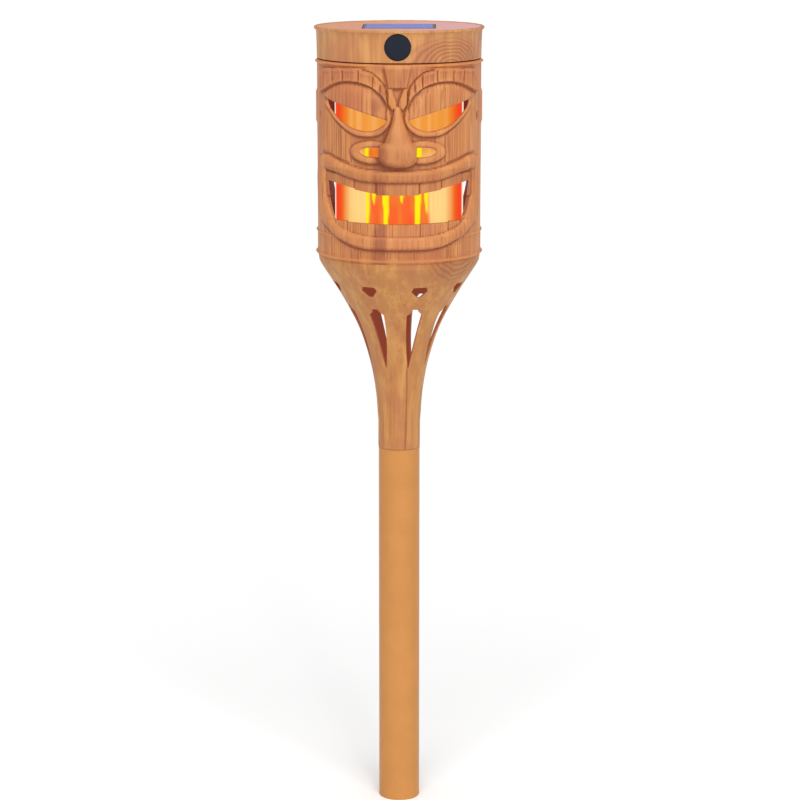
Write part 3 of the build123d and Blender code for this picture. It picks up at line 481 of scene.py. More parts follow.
    # ear blocks on the side seams, with a small dent in front of each
    ear = ramp(x, 56.0, 56.7) * ramp(z, 496.0, 499.0) * ramp(521.0 - z, 0.0, 3.0)
    height += 0.8 * ear
    dent = np.clip(1.0 - np.hypot((x - 54.2) / 0.9, (z - 503.0) / 4.5), 0.0, 1.0)
    height -= 0.9 * ramp(dent, 0.0, 0.6)

    # moulded rings round the drum
    for ring_z, rise, half in TRIM_RINGS:
        slope = np.clip(1.0 - np.abs(z - ring_z) / half, 0.0, 1.0)
        bead = rise * shape.ring_rise / MM * (slope - 0.16 * ramp(slope, 0.7, 1.0))
        if ring_z == MIDDLE_RING:
            bead = bead * ramp(x, 43.0, 46.0)
        height = np.where(bead > 0, np.maximum(height, bead), height)
    return height


# ------------------------------------------------------------------ mask shell

COLUMNS = 300
ROW_STEP = 0.62
CUT_NEAR = 15.0
CUT_FAR = 80.0
CARVE = "Carve"


def mask_rows():
    """Heights of the mesh rows: even, and closer over the moulded rings."""
    rows = list(np.arange(DRUM_BOTTOM, DRUM_TOP, ROW_STEP)) + [DRUM_TOP]
    for ring_z, _, half in TRIM_RINGS:
        rows = [z for z in rows if abs(z - ring_z) > half + 0.25]
        rows += list(np.linspace(ring_z - half, ring_z + half, 15))
    return np.array(sorted(z for z in rows if DRUM_BOTTOM <= z <= DRUM_TOP))


def blurred(field, cells):
    """The field averaged over a square of this many cells each way, twice."""
    for _ in range(2):
        for axis in (0, 1):
            pad = [(cells, cells) if a == axis else (0, 0) for a in (0, 1)]
            wide = np.pad(field, pad, mode="edge")
            total = np.cumsum(wide, axis=axis)
            lead = np.take(total, range(2 * cells, wide.shape[axis]), axis=axis)
            lag = np.take(total, range(0, wide.shape[axis] - 2 * cells), axis=axis)
            field = (lead - lag) / (2 * cells)
    return field


def toning(across, z):
    """Darkening laid thinly on the flat faces: the block, the nose, the upper teeth and lip, and the chin; it is
    coloured with the painted shade of the hollows.
    """
    block = ramp(across, 10.0, 8.0) * ramp(z, 524.0, 527.0)
    nose = ramp(across, 16.0, 11.0) * ramp(z, 470.0, 474.0) * ramp(z, 500.0, 490.0)
    teeth = ramp(across, 50.0, 48.0) * ramp(z, 449.0, 451.0) * ramp(z, 470.5, 468.5)
    chin = ramp(across, 40.0, 30.0) * ramp(z, 407.5, 408.5) * ramp(z, 415.0, 413.0)
    return 0.36 * np.maximum(np.maximum(block, nose), np.maximum(teeth, chin))


def carve_attribute(obj, angles, rows, height):
    """Stores painted shade where each point lies below its surroundings, and painted highlight, partly worn edges,
    where it stands out, for the colour of the carving.
    """
    soft = blurred(height, 2)
    softer = blurred(height, 7)
    # Painted shade: points below the blurred height are darkened, most in narrow hollows, and the broad blur adds a
    # shadow under overhangs such as the brows.
    hollow_shade = np.clip((soft - height) / 0.40, 0.0, 1.0) + 0.5 * np.clip((softer - height - 0.3) / 1.6, 0.0, 1.0)
    # Painted highlight, partly worn edges: points above the blurred height are lightened.
    raised_highlight = 0.6 * np.clip((height - soft) / 0.35, 0.0, 1.0)
    across = np.abs(np.sin(angles)) * DRUM_RADIUS
    far_off = 9.0 * ramp(across, 46.0, 43.0)
    from_ring = np.min([np.abs(rows - z)[:, None] - half + (far_off if z == MIDDLE_RING else 0.0)
                        + np.zeros(len(angles)) for z, _, half in TRIM_RINGS], axis=0)
    hollow_shade = np.maximum(hollow_shade, toning(across[None, :], rows[:, None]))
    # No painted shade on the moulded rings; a painted highlight is laid along each ring instead.
    hollow_shade = hollow_shade * ramp(from_ring, 0.1, 1.3)
    raised_highlight = np.maximum(raised_highlight, ramp(from_ring, 0.2, -0.5))
    mesh = obj.data
    co = vertex_places(mesh) / MM
    angle, radius = round_axis(co)
    col = np.clip((angle - angles[0]) / (angles[1] - angles[0]), 0, len(angles) - 1.001)
    row = np.clip(np.interp(co[:, 2], rows, np.arange(len(rows))), 0, len(rows) - 1.001)
    ci, ri = col.astype(int), row.astype(int)
    ct, rt = col - ci, row - ri

    def sample(field):
        low = field[ri, ci] * (1 - ct) + field[ri, ci + 1] * ct
        high = field[ri + 1, ci] * (1 - ct) + field[ri + 1, ci + 1] * ct
        return low * (1 - rt) + high * rt

    outer = radius > DRUM_RADIUS - 1.6
    values = np.ones((len(co), 4))
    values[:, 0] = np.where(outer, np.clip(sample(hollow_shade), 0.0, 1.0), 0.0)
    values[:, 1] = np.where(outer, sample(raised_highlight), 0.0)
    values[:, 2] = 0.0
    store_colours(mesh, CARVE, values)


def carved_half(name):
    """Front half of the drum: carved outside, bored inside, with its eyes, nostrils and mouth cut through."""
    angles = np.linspace(-math.pi / 2, math.pi / 2, COLUMNS + 1)
    rows = mask_rows()
    angle_grid, row_grid = np.meshgrid(angles, rows)
    height = mask_height(angle_grid, row_grid)
    radius = DRUM_RADIUS + height
    verts = np.stack([radius * np.sin(angle_grid), -radius * np.cos(angle_grid), row_grid], axis=-1)
    wide, tall = COLUMNS + 1, len(rows)
    faces = [(r * wide + c, r * wide + c + 1, (r + 1) * wide + c + 1, (r + 1) * wide + c)
             for r in range(tall - 1) for c in range(COLUMNS)]
    top = [(tall - 1) * wide + c for c in range(wide)]
    bottom = list(range(wide))
    left = [r * wide for r in range(tall)]
    right = [r * wide + COLUMNS for r in range(tall)]
    faces += [tuple(top), tuple(reversed(bottom)), tuple(left + list(reversed(right)))]
    obj = mesh_object(name, verts.reshape(-1, 3), faces)
    outward(obj)

    deselect()
    bpy.ops.mesh.primitive_cylinder_add(
        vertices=256, radius=DRUM_BORE * MM, depth=(DRUM_TOP - DRUM_BOTTOM + 20.0) * MM,
        location=(0, 0, (DRUM_TOP + DRUM_BOTTOM) / 2 * MM))
    subtract(obj, bpy.context.object)
    for outline in (eye_outline(), mirrored(eye_outline()), nostril_outline(), mirrored(nostril_outline()),
                    mouth_outline()):
        subtract(obj, prism("cutter", outline, CUT_NEAR, CUT_FAR))
    carve_attribute(obj, angles, rows, height)
    smooth(obj, 40.0)
    return obj


def facing_back(obj, name):
    """A copy of the front half, mirrored to the back of the drum."""
    copy = obj.copy()
    copy.data = obj.data.copy()
    copy.name = name
    bpy.context.scene.collection.objects.link(copy)
    mesh = copy.data
    co = vertex_places(mesh)
    co[:, 1] *= -1
    mesh.vertices.foreach_set("co", co.ravel())
    mesh.flip_normals()
    mesh.update()
    smooth(copy, 40.0)
    return copy


# ------------------------------------------------------------------ neck


def neck_profile():
    """Closed section of the flare: spigot, foot, flare, rim, inner ring and flange."""
    outer = [tuple(p) for p in curve_through(FLARE[1:-1], 18)]
    line = np.array(outer)
    slope = np.gradient(line, axis=0)
    normal = np.stack([slope[:, 1], -slope[:, 0]], axis=1)
    normal /= np.linalg.norm(normal, axis=1)[:, None]
    inner = [tuple(p) for p in line - normal * NECK_WALL if p[1] < 401.0]
    straight = [(14.9, z) for z in np.arange(265.0, 283.0, 1.5)]
    return ([(11.6, 229.0), (13.4, 229.0), (13.6, 229.4), (13.6, 264.15), (14.6, 264.15), (14.9, 264.5)] + straight
            + outer + [(56.8, 404.4), (54.5, 404.4), (54.5, 409.0), (52.7, 409.0), (52.7, 404.4), (41.0, 404.4),
                       (41.0, 402.4), (51.0, 402.4)] + inner[::-1] + [(12.9, 266.0), (11.6, 264.0)])


def neck_windows(angle):
    """The pentagonal window and the long slit between two staves."""
    window = [(-4.9, 386.6), (4.9, 386.6), (6.0, 383.9), (1.7, 379.3), (-1.2, 379.2), (-5.9, 383.7)]
    slit = [(-2.2, 369.6), (2.0, 369.4), (3.4, 367.2), (5.7, 365.2), (4.2, 352.0), (2.4, 338.0), (0.3, 325.0),
            (-0.3, 325.0), (-2.4, 338.0), (-4.2, 352.0), (-5.7, 365.0), (-3.6, 366.4)]
    return [prism("window", window, 5.0, 80.0, angle), prism("slit", slit, 5.0, 80.0, angle)]


def from_seam(co, angle, radius):
    """Distance of each place from the neck's moulding seams, and whether a seam lies on its side of the neck."""
    pitch = 2 * math.pi / STAVES
    turned = angle - math.radians(FIRST_WINDOW)
    off = (turned + pitch / 2) % pitch - pitch / 2
    drift = 0.5 * wobble(co[:, 2], 31, 14.0)
    seam_side = np.abs((turned + math.pi / 2) % math.pi - math.pi / 2) < pitch / 2
    return np.abs(off * radius + drift), seam_side


def flared_neck(name):
    """The flare, spun round the pole's axis, with its windows cut and its staves marked."""
    obj = lathe(name, neck_profile(), 240)
    mesh = obj.data
    co = vertex_places(mesh) / MM
    angle, radius = round_axis(co)
    seam, seam_side = from_seam(co, angle, radius)
    line = ramp(seam, 0.8, 0.1) * seam_side
    reach = ramp(co[:, 2], 265.0, 268.0) * ramp(332.0 - co[:, 2], 0.0, 8.0)
    skin = ramp(radius, 14.0, 14.6) * ramp(co[:, 2], 264.6, 265.2)
    sink = -0.45 * line * reach * skin
    sink += skin * 0.10 * wobble2(angle * 20.0, co[:, 2], 33, 2.0, 30.0) * ramp(404.0 - co[:, 2], 0.0, 2.0)
    scale = 1.0 + sink / radius
    co[:, 0] *= scale
    co[:, 1] *= scale
    mesh.vertices.foreach_set("co", (co * MM).ravel())
    for stave in range(STAVES):
        for cutter in neck_windows(FIRST_WINDOW + stave * 360.0 / STAVES):
            subtract(obj, cutter)
    values = np.zeros((len(mesh.vertices), 4))
    co = vertex_places(mesh) / MM
    angle, radius = round_axis(co)
    seam, seam_side = from_seam(co, angle, radius)
    values[:, 0] = ramp(seam, 0.9, 0.1) * ramp(330.0 - co[:, 2], 0.0, 8.0) * 0.7 * seam_side
    skin_line = np.array(FLARE)
    outside = np.interp(co[:, 2], skin_line[:, 1], skin_line[:, 0])
    values[:, 2] = ramp(outside - radius, 0.9, 1.5) * (co[:, 2] < NECK_LOW[2] + LINING_REACH)
    values[:, 3] = 1.0
    store_colours(mesh, CARVE, values)
    smooth(obj, 35.0)
    return obj


# ------------------------------------------------------------------ cap, button, lamp


def cap_profile():
    """Closed section of the cap: band, rolled rim, flat top and the hollow under it."""
    roll_points = [(RIM_RADIUS + RIM_ROLL * math.cos(t), RIM_HEIGHT + RIM_ROLL * math.sin(t))
                   for t in np.radians(np.linspace(-75.0, 150.0, 22))]
    inner = CAP_RADIUS - CAP_WALL
    return ([(inner, CAP_BOTTOM), (56.9, CAP_BOTTOM), (57.2, CAP_BOTTOM + 0.3), (57.3, CAP_BOTTOM + 6.0),
             (57.5, CAP_BOTTOM + 14.0), (57.7, 560.4)] + roll_points
            + [(56.4, CAP_FLAT), (40.0, CAP_FLAT), (0.0, CAP_FLAT), (0.0, CAP_FLAT - 3.1), (inner, CAP_FLAT - 3.1)])


def solar_cap(name):
    """The cap, with the recess for the panel and the seat for the button."""
    obj = lathe(name, cap_profile(), 256)
    half = PANEL_SIZE / 2 + PANEL_GAP
    deselect()
    bpy.ops.mesh.primitive_cube_add(size=1.0)
    recess = bpy.context.object
    recess.scale = (2 * half * MM, 2 * half * MM, 10.0 * MM)
    recess.location = (0, 0, (PANEL_FLOOR + 5.0) * MM)
    bpy.ops.object.transform_apply(location=True, rotation=False, scale=True)
    subtract(obj, recess)
    low, high = PAD_HEIGHTS
    pad = prism("pad", [(-PAD_HALF, low), (PAD_HALF, low), (PAD_HALF, high), (-PAD_HALF, high)], PAD_BACK, PAD_FRONT)
    join_solid(obj, pad)
    seat = circle_outline(BUTTON_RADIUS + BUTTON_GAP, BUTTON_CENTRE, 96)
    subtract(obj, prism("seat", seat, BUTTON_SEAT, RIM_RADIUS + 3.8))
    stem_way = circle_outline(STEM_RADIUS + BUTTON_GAP, BUTTON_CENTRE, 64)
    subtract(obj, prism("stem way", stem_way, PAD_BACK - 1.2, PAD_FRONT + 0.1))
    smooth(obj, 35.0)
    return obj


def push_button(name):
    """The round button: a flat face with a soft edge, and a stem behind it."""
    face = -BUTTON_LOW[1]
    edge = BUTTON_RADIUS
    profile = [(0.0, face), (edge - 3.0, face - 0.03), (edge - 1.0, face - 0.12), (edge - 0.35, face - 0.32),
               (edge - 0.07, face - 0.6), (edge, face - 0.9), (edge, face - 1.6), (STEM_RADIUS, face - 1.6),
               (STEM_RADIUS, STEM_BACK), (0.0, STEM_BACK)]
    obj = lathe(name, profile, 128)
    mesh = obj.data
    for vertex in mesh.vertices:
        x, y, z = vertex.co
        vertex.co = (x, -z, y + BUTTON_CENTRE * MM)
    outward(obj)
    smooth(obj, 40.0)
    return obj


# Flames on the tube: degrees off the middle, half width at the foot and at the head, heights of foot and head
TONGUES = ((-28.3, 1.2, 1.6, 420.0, 490.0), (-21.4, 0.1, 2.6, 443.0, 468.0), (-10.6, 1.2, 3.1, 424.0, 490.0),
           (3.4, 0.1, 2.6, 444.0, 468.0), (17.4, 1.5, 3.1, 424.0, 490.0), (25.6, 0.2, 2.4, 437.0, 468.0))
EMBERS = ((-20.0, 3.5, 447.0), (-4.5, 4.0, 446.0), (7.5, 4.0, 452.0), (12.0, 2.6, 440.0), (27.5, 1.6, 447.0))


def flame_colour(angle, z):
    """Colour of the lit tube: cream flanks that redden round the sides, and a flame on the front and the back."""
    signed = np.degrees((angle + math.pi / 2) % math.pi - math.pi / 2)
    off = np.abs(signed)
    cream = np.array((0.97, 0.67, 0.235))
    amber = np.array((0.87, 0.32, 0.045))
    pale = np.array((0.97, 0.50, 0.16))
    orange = np.array((0.87, 0.16, 0.012))
    red = np.array((0.95, 0.070, 0.018))
    yellow = np.array((1.0, 0.84, 0.0))
    rim = np.array((1.0, 0.86, 0.68))

    def lay(colour, over, mask):
        return colour * (1 - mask[..., None]) + over * mask[..., None]

    colour = lay(np.broadcast_to(amber, z.shape + (3,)), pale, 0.55 * np.clip(wobble(signed, 4, 3.5), 0.0, 1.0))
    colour = lay(colour, cream, ramp(z, 486.0, 470.0) * (0.9 + 0.1 * wobble(signed, 5, 2.5)))
    colour = lay(colour, orange, ramp(off, 43.0, 62.0))
    colour = lay(colour, red, ramp(off, 55.0, 68.0))
    colour = lay(colour, rim, ramp(off, 76.0, 79.0))
    core = ramp(off + 2.5 * wobble(z, 3, 9.0), 30.0, 23.0) * ramp(z, 490.0, 480.0) * ramp(signed, 24.0, 14.0) ** ramp(
        z, 452.0, 470.0)
    colour = lay(colour, orange, 0.95 * core)
    colour = lay(colour, amber, core * 0.45 * np.clip(wobble2(signed, z, 8, 4.0, 12.0), 0.0, 1.0))
    for middle, half, head in EMBERS:
        ember = ramp(np.abs(signed - middle - 0.8 * wobble(z, int(middle) + 90, 7.0)), half + 1.5, half - 1.5)
        colour = lay(colour, red, 0.55 * core * ember * ramp(z, head + 4.0, head - 6.0))
    for middle, foot, head, start, end in TONGUES:
        rise = np.clip((z - start) / (457.0 - start), 0.0, 1.0)
        half = foot + (head - foot) * rise
        sway = 0.5 * wobble(z, int(middle) + 60, 8.0)
        tongue = ramp(np.abs(signed - middle - sway), half + 0.8, half - 0.4)
        colour = lay(colour, yellow, tongue * ramp(z, start, start + 3.0) * ramp(end - z, 0.0, 6.0))
    return colour


def lamp_tube(name):
    """The frosted tube, with the flame's colours stored on its mesh."""
    outer = DIFFUSER_HIGH[0]
    inner = outer - 1.6
    heights = np.linspace(DIFFUSER_LOW[2] + 0.4, DIFFUSER_HIGH[2] - 0.4, 130)
    profile = ([(inner, DIFFUSER_LOW[2]), (outer - 0.4, DIFFUSER_LOW[2])] + [(outer, z) for z in heights]
               + [(outer - 0.4, DIFFUSER_HIGH[2]), (inner, DIFFUSER_HIGH[2])])
    obj = lathe(name, profile, 300)
    mesh = obj.data
    co = vertex_places(mesh) / MM
    colours = np.ones((len(co), 4))
    colours[:, :3] = flame_colour(round_axis(co)[0], co[:, 2])
    store_colours(mesh, "Flame", colours)
    smooth(obj, 35.0)
    return obj


# ------------------------------------------------------------------ materials


def srgb(red, green, blue):
    """A colour given as 0 to 255 on screen, turned to linear light."""
    return tuple(((c / 255 + 0.055) / 1.055) ** 2.4 if c > 10 else c / 255 / 12.92
                 for c in (red, green, blue)) + (1.0,)


CELL_PITCH = 7.8
VEIN = srgb(132, 66, 50)
# Colour of the painted light that makes the neck's inner face glow, though it is no lamp.
PAINTED_INNER_LIGHT = srgb(134, 66, 46)
# Painted light and sheen on the cap's flat top, at its left edge and at its right.
TOP_LIGHT_LEFT = srgb(216, 146, 112)
TOP_LIGHT_RIGHT = srgb(220, 164, 166)
LIGHT_GRAIN = (1.18, 1.34, 1.38)
DARK_GRAIN = (0.43, 0.29, 0.24)
PINK_GRAIN = (0.90, 0.78, 1.05)


class Nodes:
    """Short calls for building one node tree."""

    def __init__(self, tree):
        self.tree = tree

    def add(self, kind, inputs=None, **settings):
        node = self.tree.nodes.new(kind)
        for key, value in settings.items():
            setattr(node, key, value)
        for key, value in (inputs or {}).items():
            self.feed(node.inputs[key], value)
        return node

    def feed(self, socket, value):
        if isinstance(value, bpy.types.NodeSocket):
            self.tree.links.new(value, socket)
        elif isinstance(value, bpy.types.Node):
            self.tree.links.new(value.outputs[0], socket)
        else:
            socket.default_value = value

    def math(self, operation, a, b=0.0, c=0.0, clamp=False):
        node = self.add("ShaderNodeMath", operation=operation, use_clamp=clamp)
        for socket, value in zip(node.inputs, (a, b, c)):
            self.feed(socket, value)
        return node.outputs[0]

    def noise(self, vector, scale, detail=2.0, rough=0.5, stretch=None):
        if stretch:
            vector = self.add("ShaderNodeMapping", {"Vector": vector, "Scale": stretch})
        return self.add("ShaderNodeTexNoise",
                        {"Vector": vector, "Scale": scale, "Detail": detail, "Roughness": rough}).outputs["Fac"]

    def remap(self, value, low, high, to_low=0.0, to_high=1.0):
        node = self.add("ShaderNodeMapRange", {"Value": value, "From Min": low, "From Max": high,
                                               "To Min": to_low, "To Max": to_high}, interpolation_type="SMOOTHSTEP")
        return node.outputs[0]

    def mix(self, factor, a, b, blend="MIX"):
        node = self.add("ShaderNodeMix", data_type="RGBA", blend_type=blend)
        self.feed(node.inputs["Factor"], factor)
        self.feed(node.inputs[6], a)
        self.feed(node.inputs[7], b)
        return node.outputs[2]


def new_group(name, inputs, outputs):
    """An empty shader node group with these sockets; returns its helper, its input node and its output node."""
    tree = bpy.data.node_groups.new(name, "ShaderNodeTree")
    for label, kind, default in inputs:
        socket = tree.interface.new_socket(label, in_out="INPUT", socket_type=kind)
        if default is not None:
            socket.default_value = default
    for label, kind in outputs:
        tree.interface.new_socket(label, in_out="OUTPUT", socket_type=kind)
    nodes = Nodes(tree)
    return nodes, nodes.add("NodeGroupInput"), nodes.add("NodeGroupOutput")


def wood_grain_group():
    """Moulded wood grain: upright streaks, broad colour bands, blushes of pink and a knot whose rings curve."""
    n, given, out = new_group(
        "Wood grain",
        [("Base", "NodeSocketColor", (0.5, 0.25, 0.12, 1.0)), ("Light", "NodeSocketColor", (0.6, 0.3, 0.15, 1.0)),
         ("Dark", "NodeSocketColor", (0.3, 0.12, 0.05, 1.0)), ("Blush", "NodeSocketColor", (0.5, 0.2, 0.18, 1.0)),
         ("Streaks", "NodeSocketFloat", 1.0), ("Knot", "NodeSocketFloat", 0.0),
         ("Knot Place", "NodeSocketVector", (0.05, -0.02, 0.55)), ("Knot Reach", "NodeSocketFloat", 0.03),
         ("Knot Flattening", "NodeSocketFloat", 1.0)],
        [("Color", "NodeSocketColor"), ("Height", "NodeSocketFloat")])
    place = n.add("ShaderNodeTexCoord").outputs["Object"]
    fine = n.noise(place, 640.0, 3.0, 0.62, (1.0, 1.0, 0.030))
    bands = n.noise(place, 150.0, 3.0, 0.55, (1.0, 1.0, 0.07))
    broad = n.noise(place, 42.0, 2.0, 0.5, (1.0, 1.0, 0.30))
    patches = n.noise(place, 30.0, 3.0, 0.6, (1.0, 1.0, 0.6))
    # knot: distance from its middle, disturbed, gives the curved rings
    offset = n.add("ShaderNodeVectorMath", {0: place, 1: given.outputs["Knot Place"]}, operation="SUBTRACT")
    flatten = n.add("ShaderNodeCombineXYZ", {"X": 1.0, "Y": 1.0, "Z": given.outputs["Knot Flattening"]})
    offset = n.add("ShaderNodeVectorMath", {0: offset.outputs["Vector"], 1: flatten}, operation="MULTIPLY")
    distance = n.add("ShaderNodeVectorMath", {0: offset.outputs["Vector"]}, operation="LENGTH").outputs["Value"]
    ripple = n.noise(place, 42.0, 2.0, 0.5, (1.0, 1.0, 0.8))
    rings = n.math("SINE", n.math("MULTIPLY", n.math("MULTIPLY_ADD", ripple, 0.014, distance), 1350.0))
    near = n.remap(n.math("DIVIDE", distance, given.outputs["Knot Reach"]), 1.0, 0.6)
    knot = n.math("MULTIPLY", near, given.outputs["Knot"], clamp=True)
    colour = n.mix(n.remap(bands, 0.42, 0.64), given.outputs["Base"], given.outputs["Light"])
    colour = n.mix(n.math("MULTIPLY", n.remap(patches, 0.50, 0.68), 0.75), colour, given.outputs["Blush"])
    dark_streak = n.math("MULTIPLY", n.remap(fine, 0.51, 0.66), n.remap(broad, 0.35, 0.62, 0.30, 1.0))
    dark_streak = n.math("MULTIPLY", dark_streak, given.outputs["Streaks"], clamp=True)
    light_streak = n.math("MULTIPLY", n.remap(fine, 0.42, 0.30), given.outputs["Streaks"])
    colour = n.mix(n.math("MULTIPLY", light_streak, 0.45, clamp=True), colour, given.outputs["Light"])
    colour = n.mix(n.math("MULTIPLY", dark_streak, 0.62), colour, given.outputs["Dark"])
    colour = n.mix(n.math("MULTIPLY", knot, 0.35), colour, given.outputs["Blush"])
    ring_lines = n.math("MULTIPLY", n.remap(n.math("MULTIPLY_ADD", fine, 0.9, rings), -0.2, 1.5), knot)
    colour = n.mix(n.math("MULTIPLY", ring_lines, 0.46), colour, given.outputs["Dark"])
    n.feed(out.inputs["Color"], colour)
    n.feed(out.inputs["Height"],
           n.math("SUBTRACT", n.math("MULTIPLY", fine, -1.0), n.math("MULTIPLY", ring_lines, 0.6)))
    return n.tree


def speckle_group():
    """Fine moulded texture with slow dirt: a mask for colour and a height."""
    n, given, out = new_group(
        "Moulded texture", [("Scale", "NodeSocketFloat", 900.0)],
        [("Mask", "NodeSocketFloat"), ("Height", "NodeSocketFloat")])
    place = n.add("ShaderNodeTexCoord").outputs["Object"]
    grain = n.add("ShaderNodeTexNoise",
                  {"Vector": place, "Scale": given.outputs["Scale"], "Detail": 3.0}).outputs["Fac"]
    slow = n.noise(place, 55.0, 3.0)
    n.feed(out.inputs["Mask"], n.math("MULTIPLY_ADD", grain, 0.35, n.math("MULTIPLY", slow, 0.65)))
    n.feed(out.inputs["Height"], grain)
    return n.tree


def new_material(name):
    """A material with only its Principled shader and output, and a helper for its tree."""
    material = bpy.data.materials.new(name)
    material.use_nodes = True
    nodes = Nodes(material.node_tree)
    shader = material.node_tree.nodes["Principled BSDF"]
    return material, nodes, shader


def tone(name):
    """A colour of the torch as the user set it."""
    return tuple(getattr(bpy.context.scene.torch_finish, name)) + (1.0,)


def from_axis(n, place):
    """Distance of a place from the pole's axis."""
    flat = n.add("ShaderNodeVectorMath", {0: place, 1: (1.0, 1.0, 0.0)}, operation="MULTIPLY")
    return n.add("ShaderNodeVectorMath", {0: flat.outputs["Vector"]}, operation="LENGTH").outputs["Value"]


def shades(base, lighter, darker, blush):
    """Four tones of one wood: itself, its light grain, its dark grain and its pink patches."""
    def scaled(factors):
        return tuple(min(1.0, c * f) for c, f in zip(base[:3], factors)) + (1.0,)
    return base, scaled(lighter), scaled(darker), scaled(blush)


def carved_material(name, tones, streaks=1.0, knot=0.0, knot_place=(0, 0, 0), knot_reach=0.03, flattening=1.0,
                    carve_shaded=False, lined=False, veined=False, top_lit=False, glow=0.0, rough=0.5):
    """Wood-grain plastic: the grain group, with painted shade in the hollows, painted highlight with wear on the
    raised parts, a dark inner face with a painted glow, a vein or painted light and sheen on the top.
    """
    material, n, shader = new_material(name)
    base, light, dark, blush = tones
    grain = n.add("ShaderNodeGroup", node_tree=bpy.data.node_groups["Wood grain"])
    for key, value in (("Base", base), ("Light", light), ("Dark", dark), ("Blush", blush), ("Streaks", streaks),
                       ("Knot", knot), ("Knot Place", knot_place), ("Knot Reach", knot_reach),
                       ("Knot Flattening", flattening)):
        grain.inputs[key].default_value = value
    colour = grain.outputs["Color"]
    place = n.add("ShaderNodeTexCoord").outputs["Object"]
    axes = n.add("ShaderNodeSeparateXYZ", {"Vector": place})
    if veined:
        sway = n.math("MULTIPLY_ADD", n.noise(place, 26.0, 2.0, 0.5, (0.0, 0.0, 1.0)), 0.008, 0.0085)
        from_vein = n.math("ABSOLUTE", n.math("ADD", axes.outputs["X"], sway))
        vein = n.math("MULTIPLY", n.remap(from_vein, 0.0062, 0.0030), n.remap(axes.outputs["Y"], -0.02, -0.04))
        vein = n.math("MULTIPLY", vein, n.remap(n.noise(place, 45.0), 0.30, 0.55))
        colour = n.mix(n.math("MULTIPLY", vein, 0.62), colour, VEIN)
    # Painted light and sheen: the cap's flat top is lighter and pinker than the band, pinker towards the right.
    if top_lit:
        top = n.math("MULTIPLY", n.remap(axes.outputs["Z"], (CAP_FLAT - 0.15) * MM, (CAP_FLAT - 0.02) * MM),
                     n.remap(from_axis(n, place), 0.0571, 0.0567))
        top_light = n.mix(n.remap(axes.outputs["X"], -0.035, 0.035), TOP_LIGHT_LEFT, TOP_LIGHT_RIGHT)
        colour = n.mix(n.math("MULTIPLY", top, 0.85), colour, top_light)
    if carve_shaded:
        carve = n.add("ShaderNodeSeparateColor",
                      {"Color": n.add("ShaderNodeAttribute", attribute_name=CARVE).outputs["Color"]})
        hollow_shade, raised_highlight, within = carve.outputs
        # Painted shade in the hollows, with the same darkening along the neck's seams and on the flat faces; then
        # painted highlight, partly worn edges, on the raised parts and the rings.
        colour = n.mix(n.math("MULTIPLY", hollow_shade, 0.74, clamp=True), colour, tone("painted_shade"))
        colour = n.mix(n.math("MULTIPLY", raised_highlight, 0.60, clamp=True), colour, tone("wear_and_highlight"))
        colour = n.mix(within, colour, tone("lining"))
        # Painted light: the inner face glows a little, though it is no lamp.
        if glow:
            n.feed(shader.inputs["Emission Color"], n.mix(within, (0.0, 0.0, 0.0, 1.0), PAINTED_INNER_LIGHT))
            shader.inputs["Emission Strength"].default_value = glow
    if lined:
        colour = n.mix(n.remap(from_axis(n, place), 0.0556, 0.0552), colour, tone("lining"))
    n.feed(shader.inputs["Base Color"], colour)
    gloss = n.noise(place, 180.0, 3.0, 0.6, (1.0, 1.0, 0.25))
    n.feed(shader.inputs["Roughness"], n.remap(gloss, 0.25, 0.75, rough - 0.07, rough + 0.10))
    bump = n.add("ShaderNodeBump", {"Height": grain.outputs["Height"], "Strength": 0.30, "Distance": 0.0004})
    n.feed(shader.inputs["Normal"], bump.outputs[0])
    shader.inputs["Specular IOR Level"].default_value = 0.32
    return material


def moulded_material(name, colour, rough=0.5, metallic=0.0, scale=900.0, spread=0.18, coat=0.0, gloss=0.5):
    """Plain moulded or coated finish with fine texture and slight variation."""
    material, n, shader = new_material(name)
    texture = n.add("ShaderNodeGroup", node_tree=bpy.data.node_groups["Moulded texture"])
    texture.inputs["Scale"].default_value = scale
    darker = tuple(c * (1 - spread) for c in colour[:3]) + (1.0,)
    lighter = tuple(min(1.0, c * (1 + spread)) for c in colour[:3]) + (1.0,)
    mask = n.remap(texture.outputs["Mask"], 0.35, 0.65)
    n.feed(shader.inputs["Base Color"], n.mix(mask, darker, lighter))
    n.feed(shader.inputs["Roughness"], n.remap(texture.outputs["Mask"], 0.3, 0.7, rough - 0.06, rough + 0.08))
    bump = n.add("ShaderNodeBump", {"Height": texture.outputs["Height"], "Strength": 0.4, "Distance": 0.00012})
    n.feed(shader.inputs["Normal"], bump.outputs[0])
    shader.inputs["Specular IOR Level"].default_value = gloss
    shader.inputs["Metallic"].default_value = metallic
    shader.inputs["Coat Weight"].default_value = coat
    return material


def flame_material(name):
    """The lit tube: its stored flame colours glow, over a frosted skin."""
    material, n, shader = new_material(name)
    stored = n.add("ShaderNodeAttribute", attribute_name="Flame").outputs["Color"]
    place = n.add("ShaderNodeTexCoord").outputs["Object"]
    frost = n.noise(place, 900.0, 2.0)
    n.feed(shader.inputs["Emission Color"], stored)
    shader.inputs["Emission Strength"].default_value = 0.95
    n.feed(shader.inputs["Base Color"], n.mix(0.9, stored, (0.02, 0.008, 0.002, 1.0)))
    n.feed(shader.inputs["Roughness"], n.remap(frost, 0.3, 0.7, 0.55, 0.7))
    shader.inputs["Specular IOR Level"].default_value = 0.15
    return material


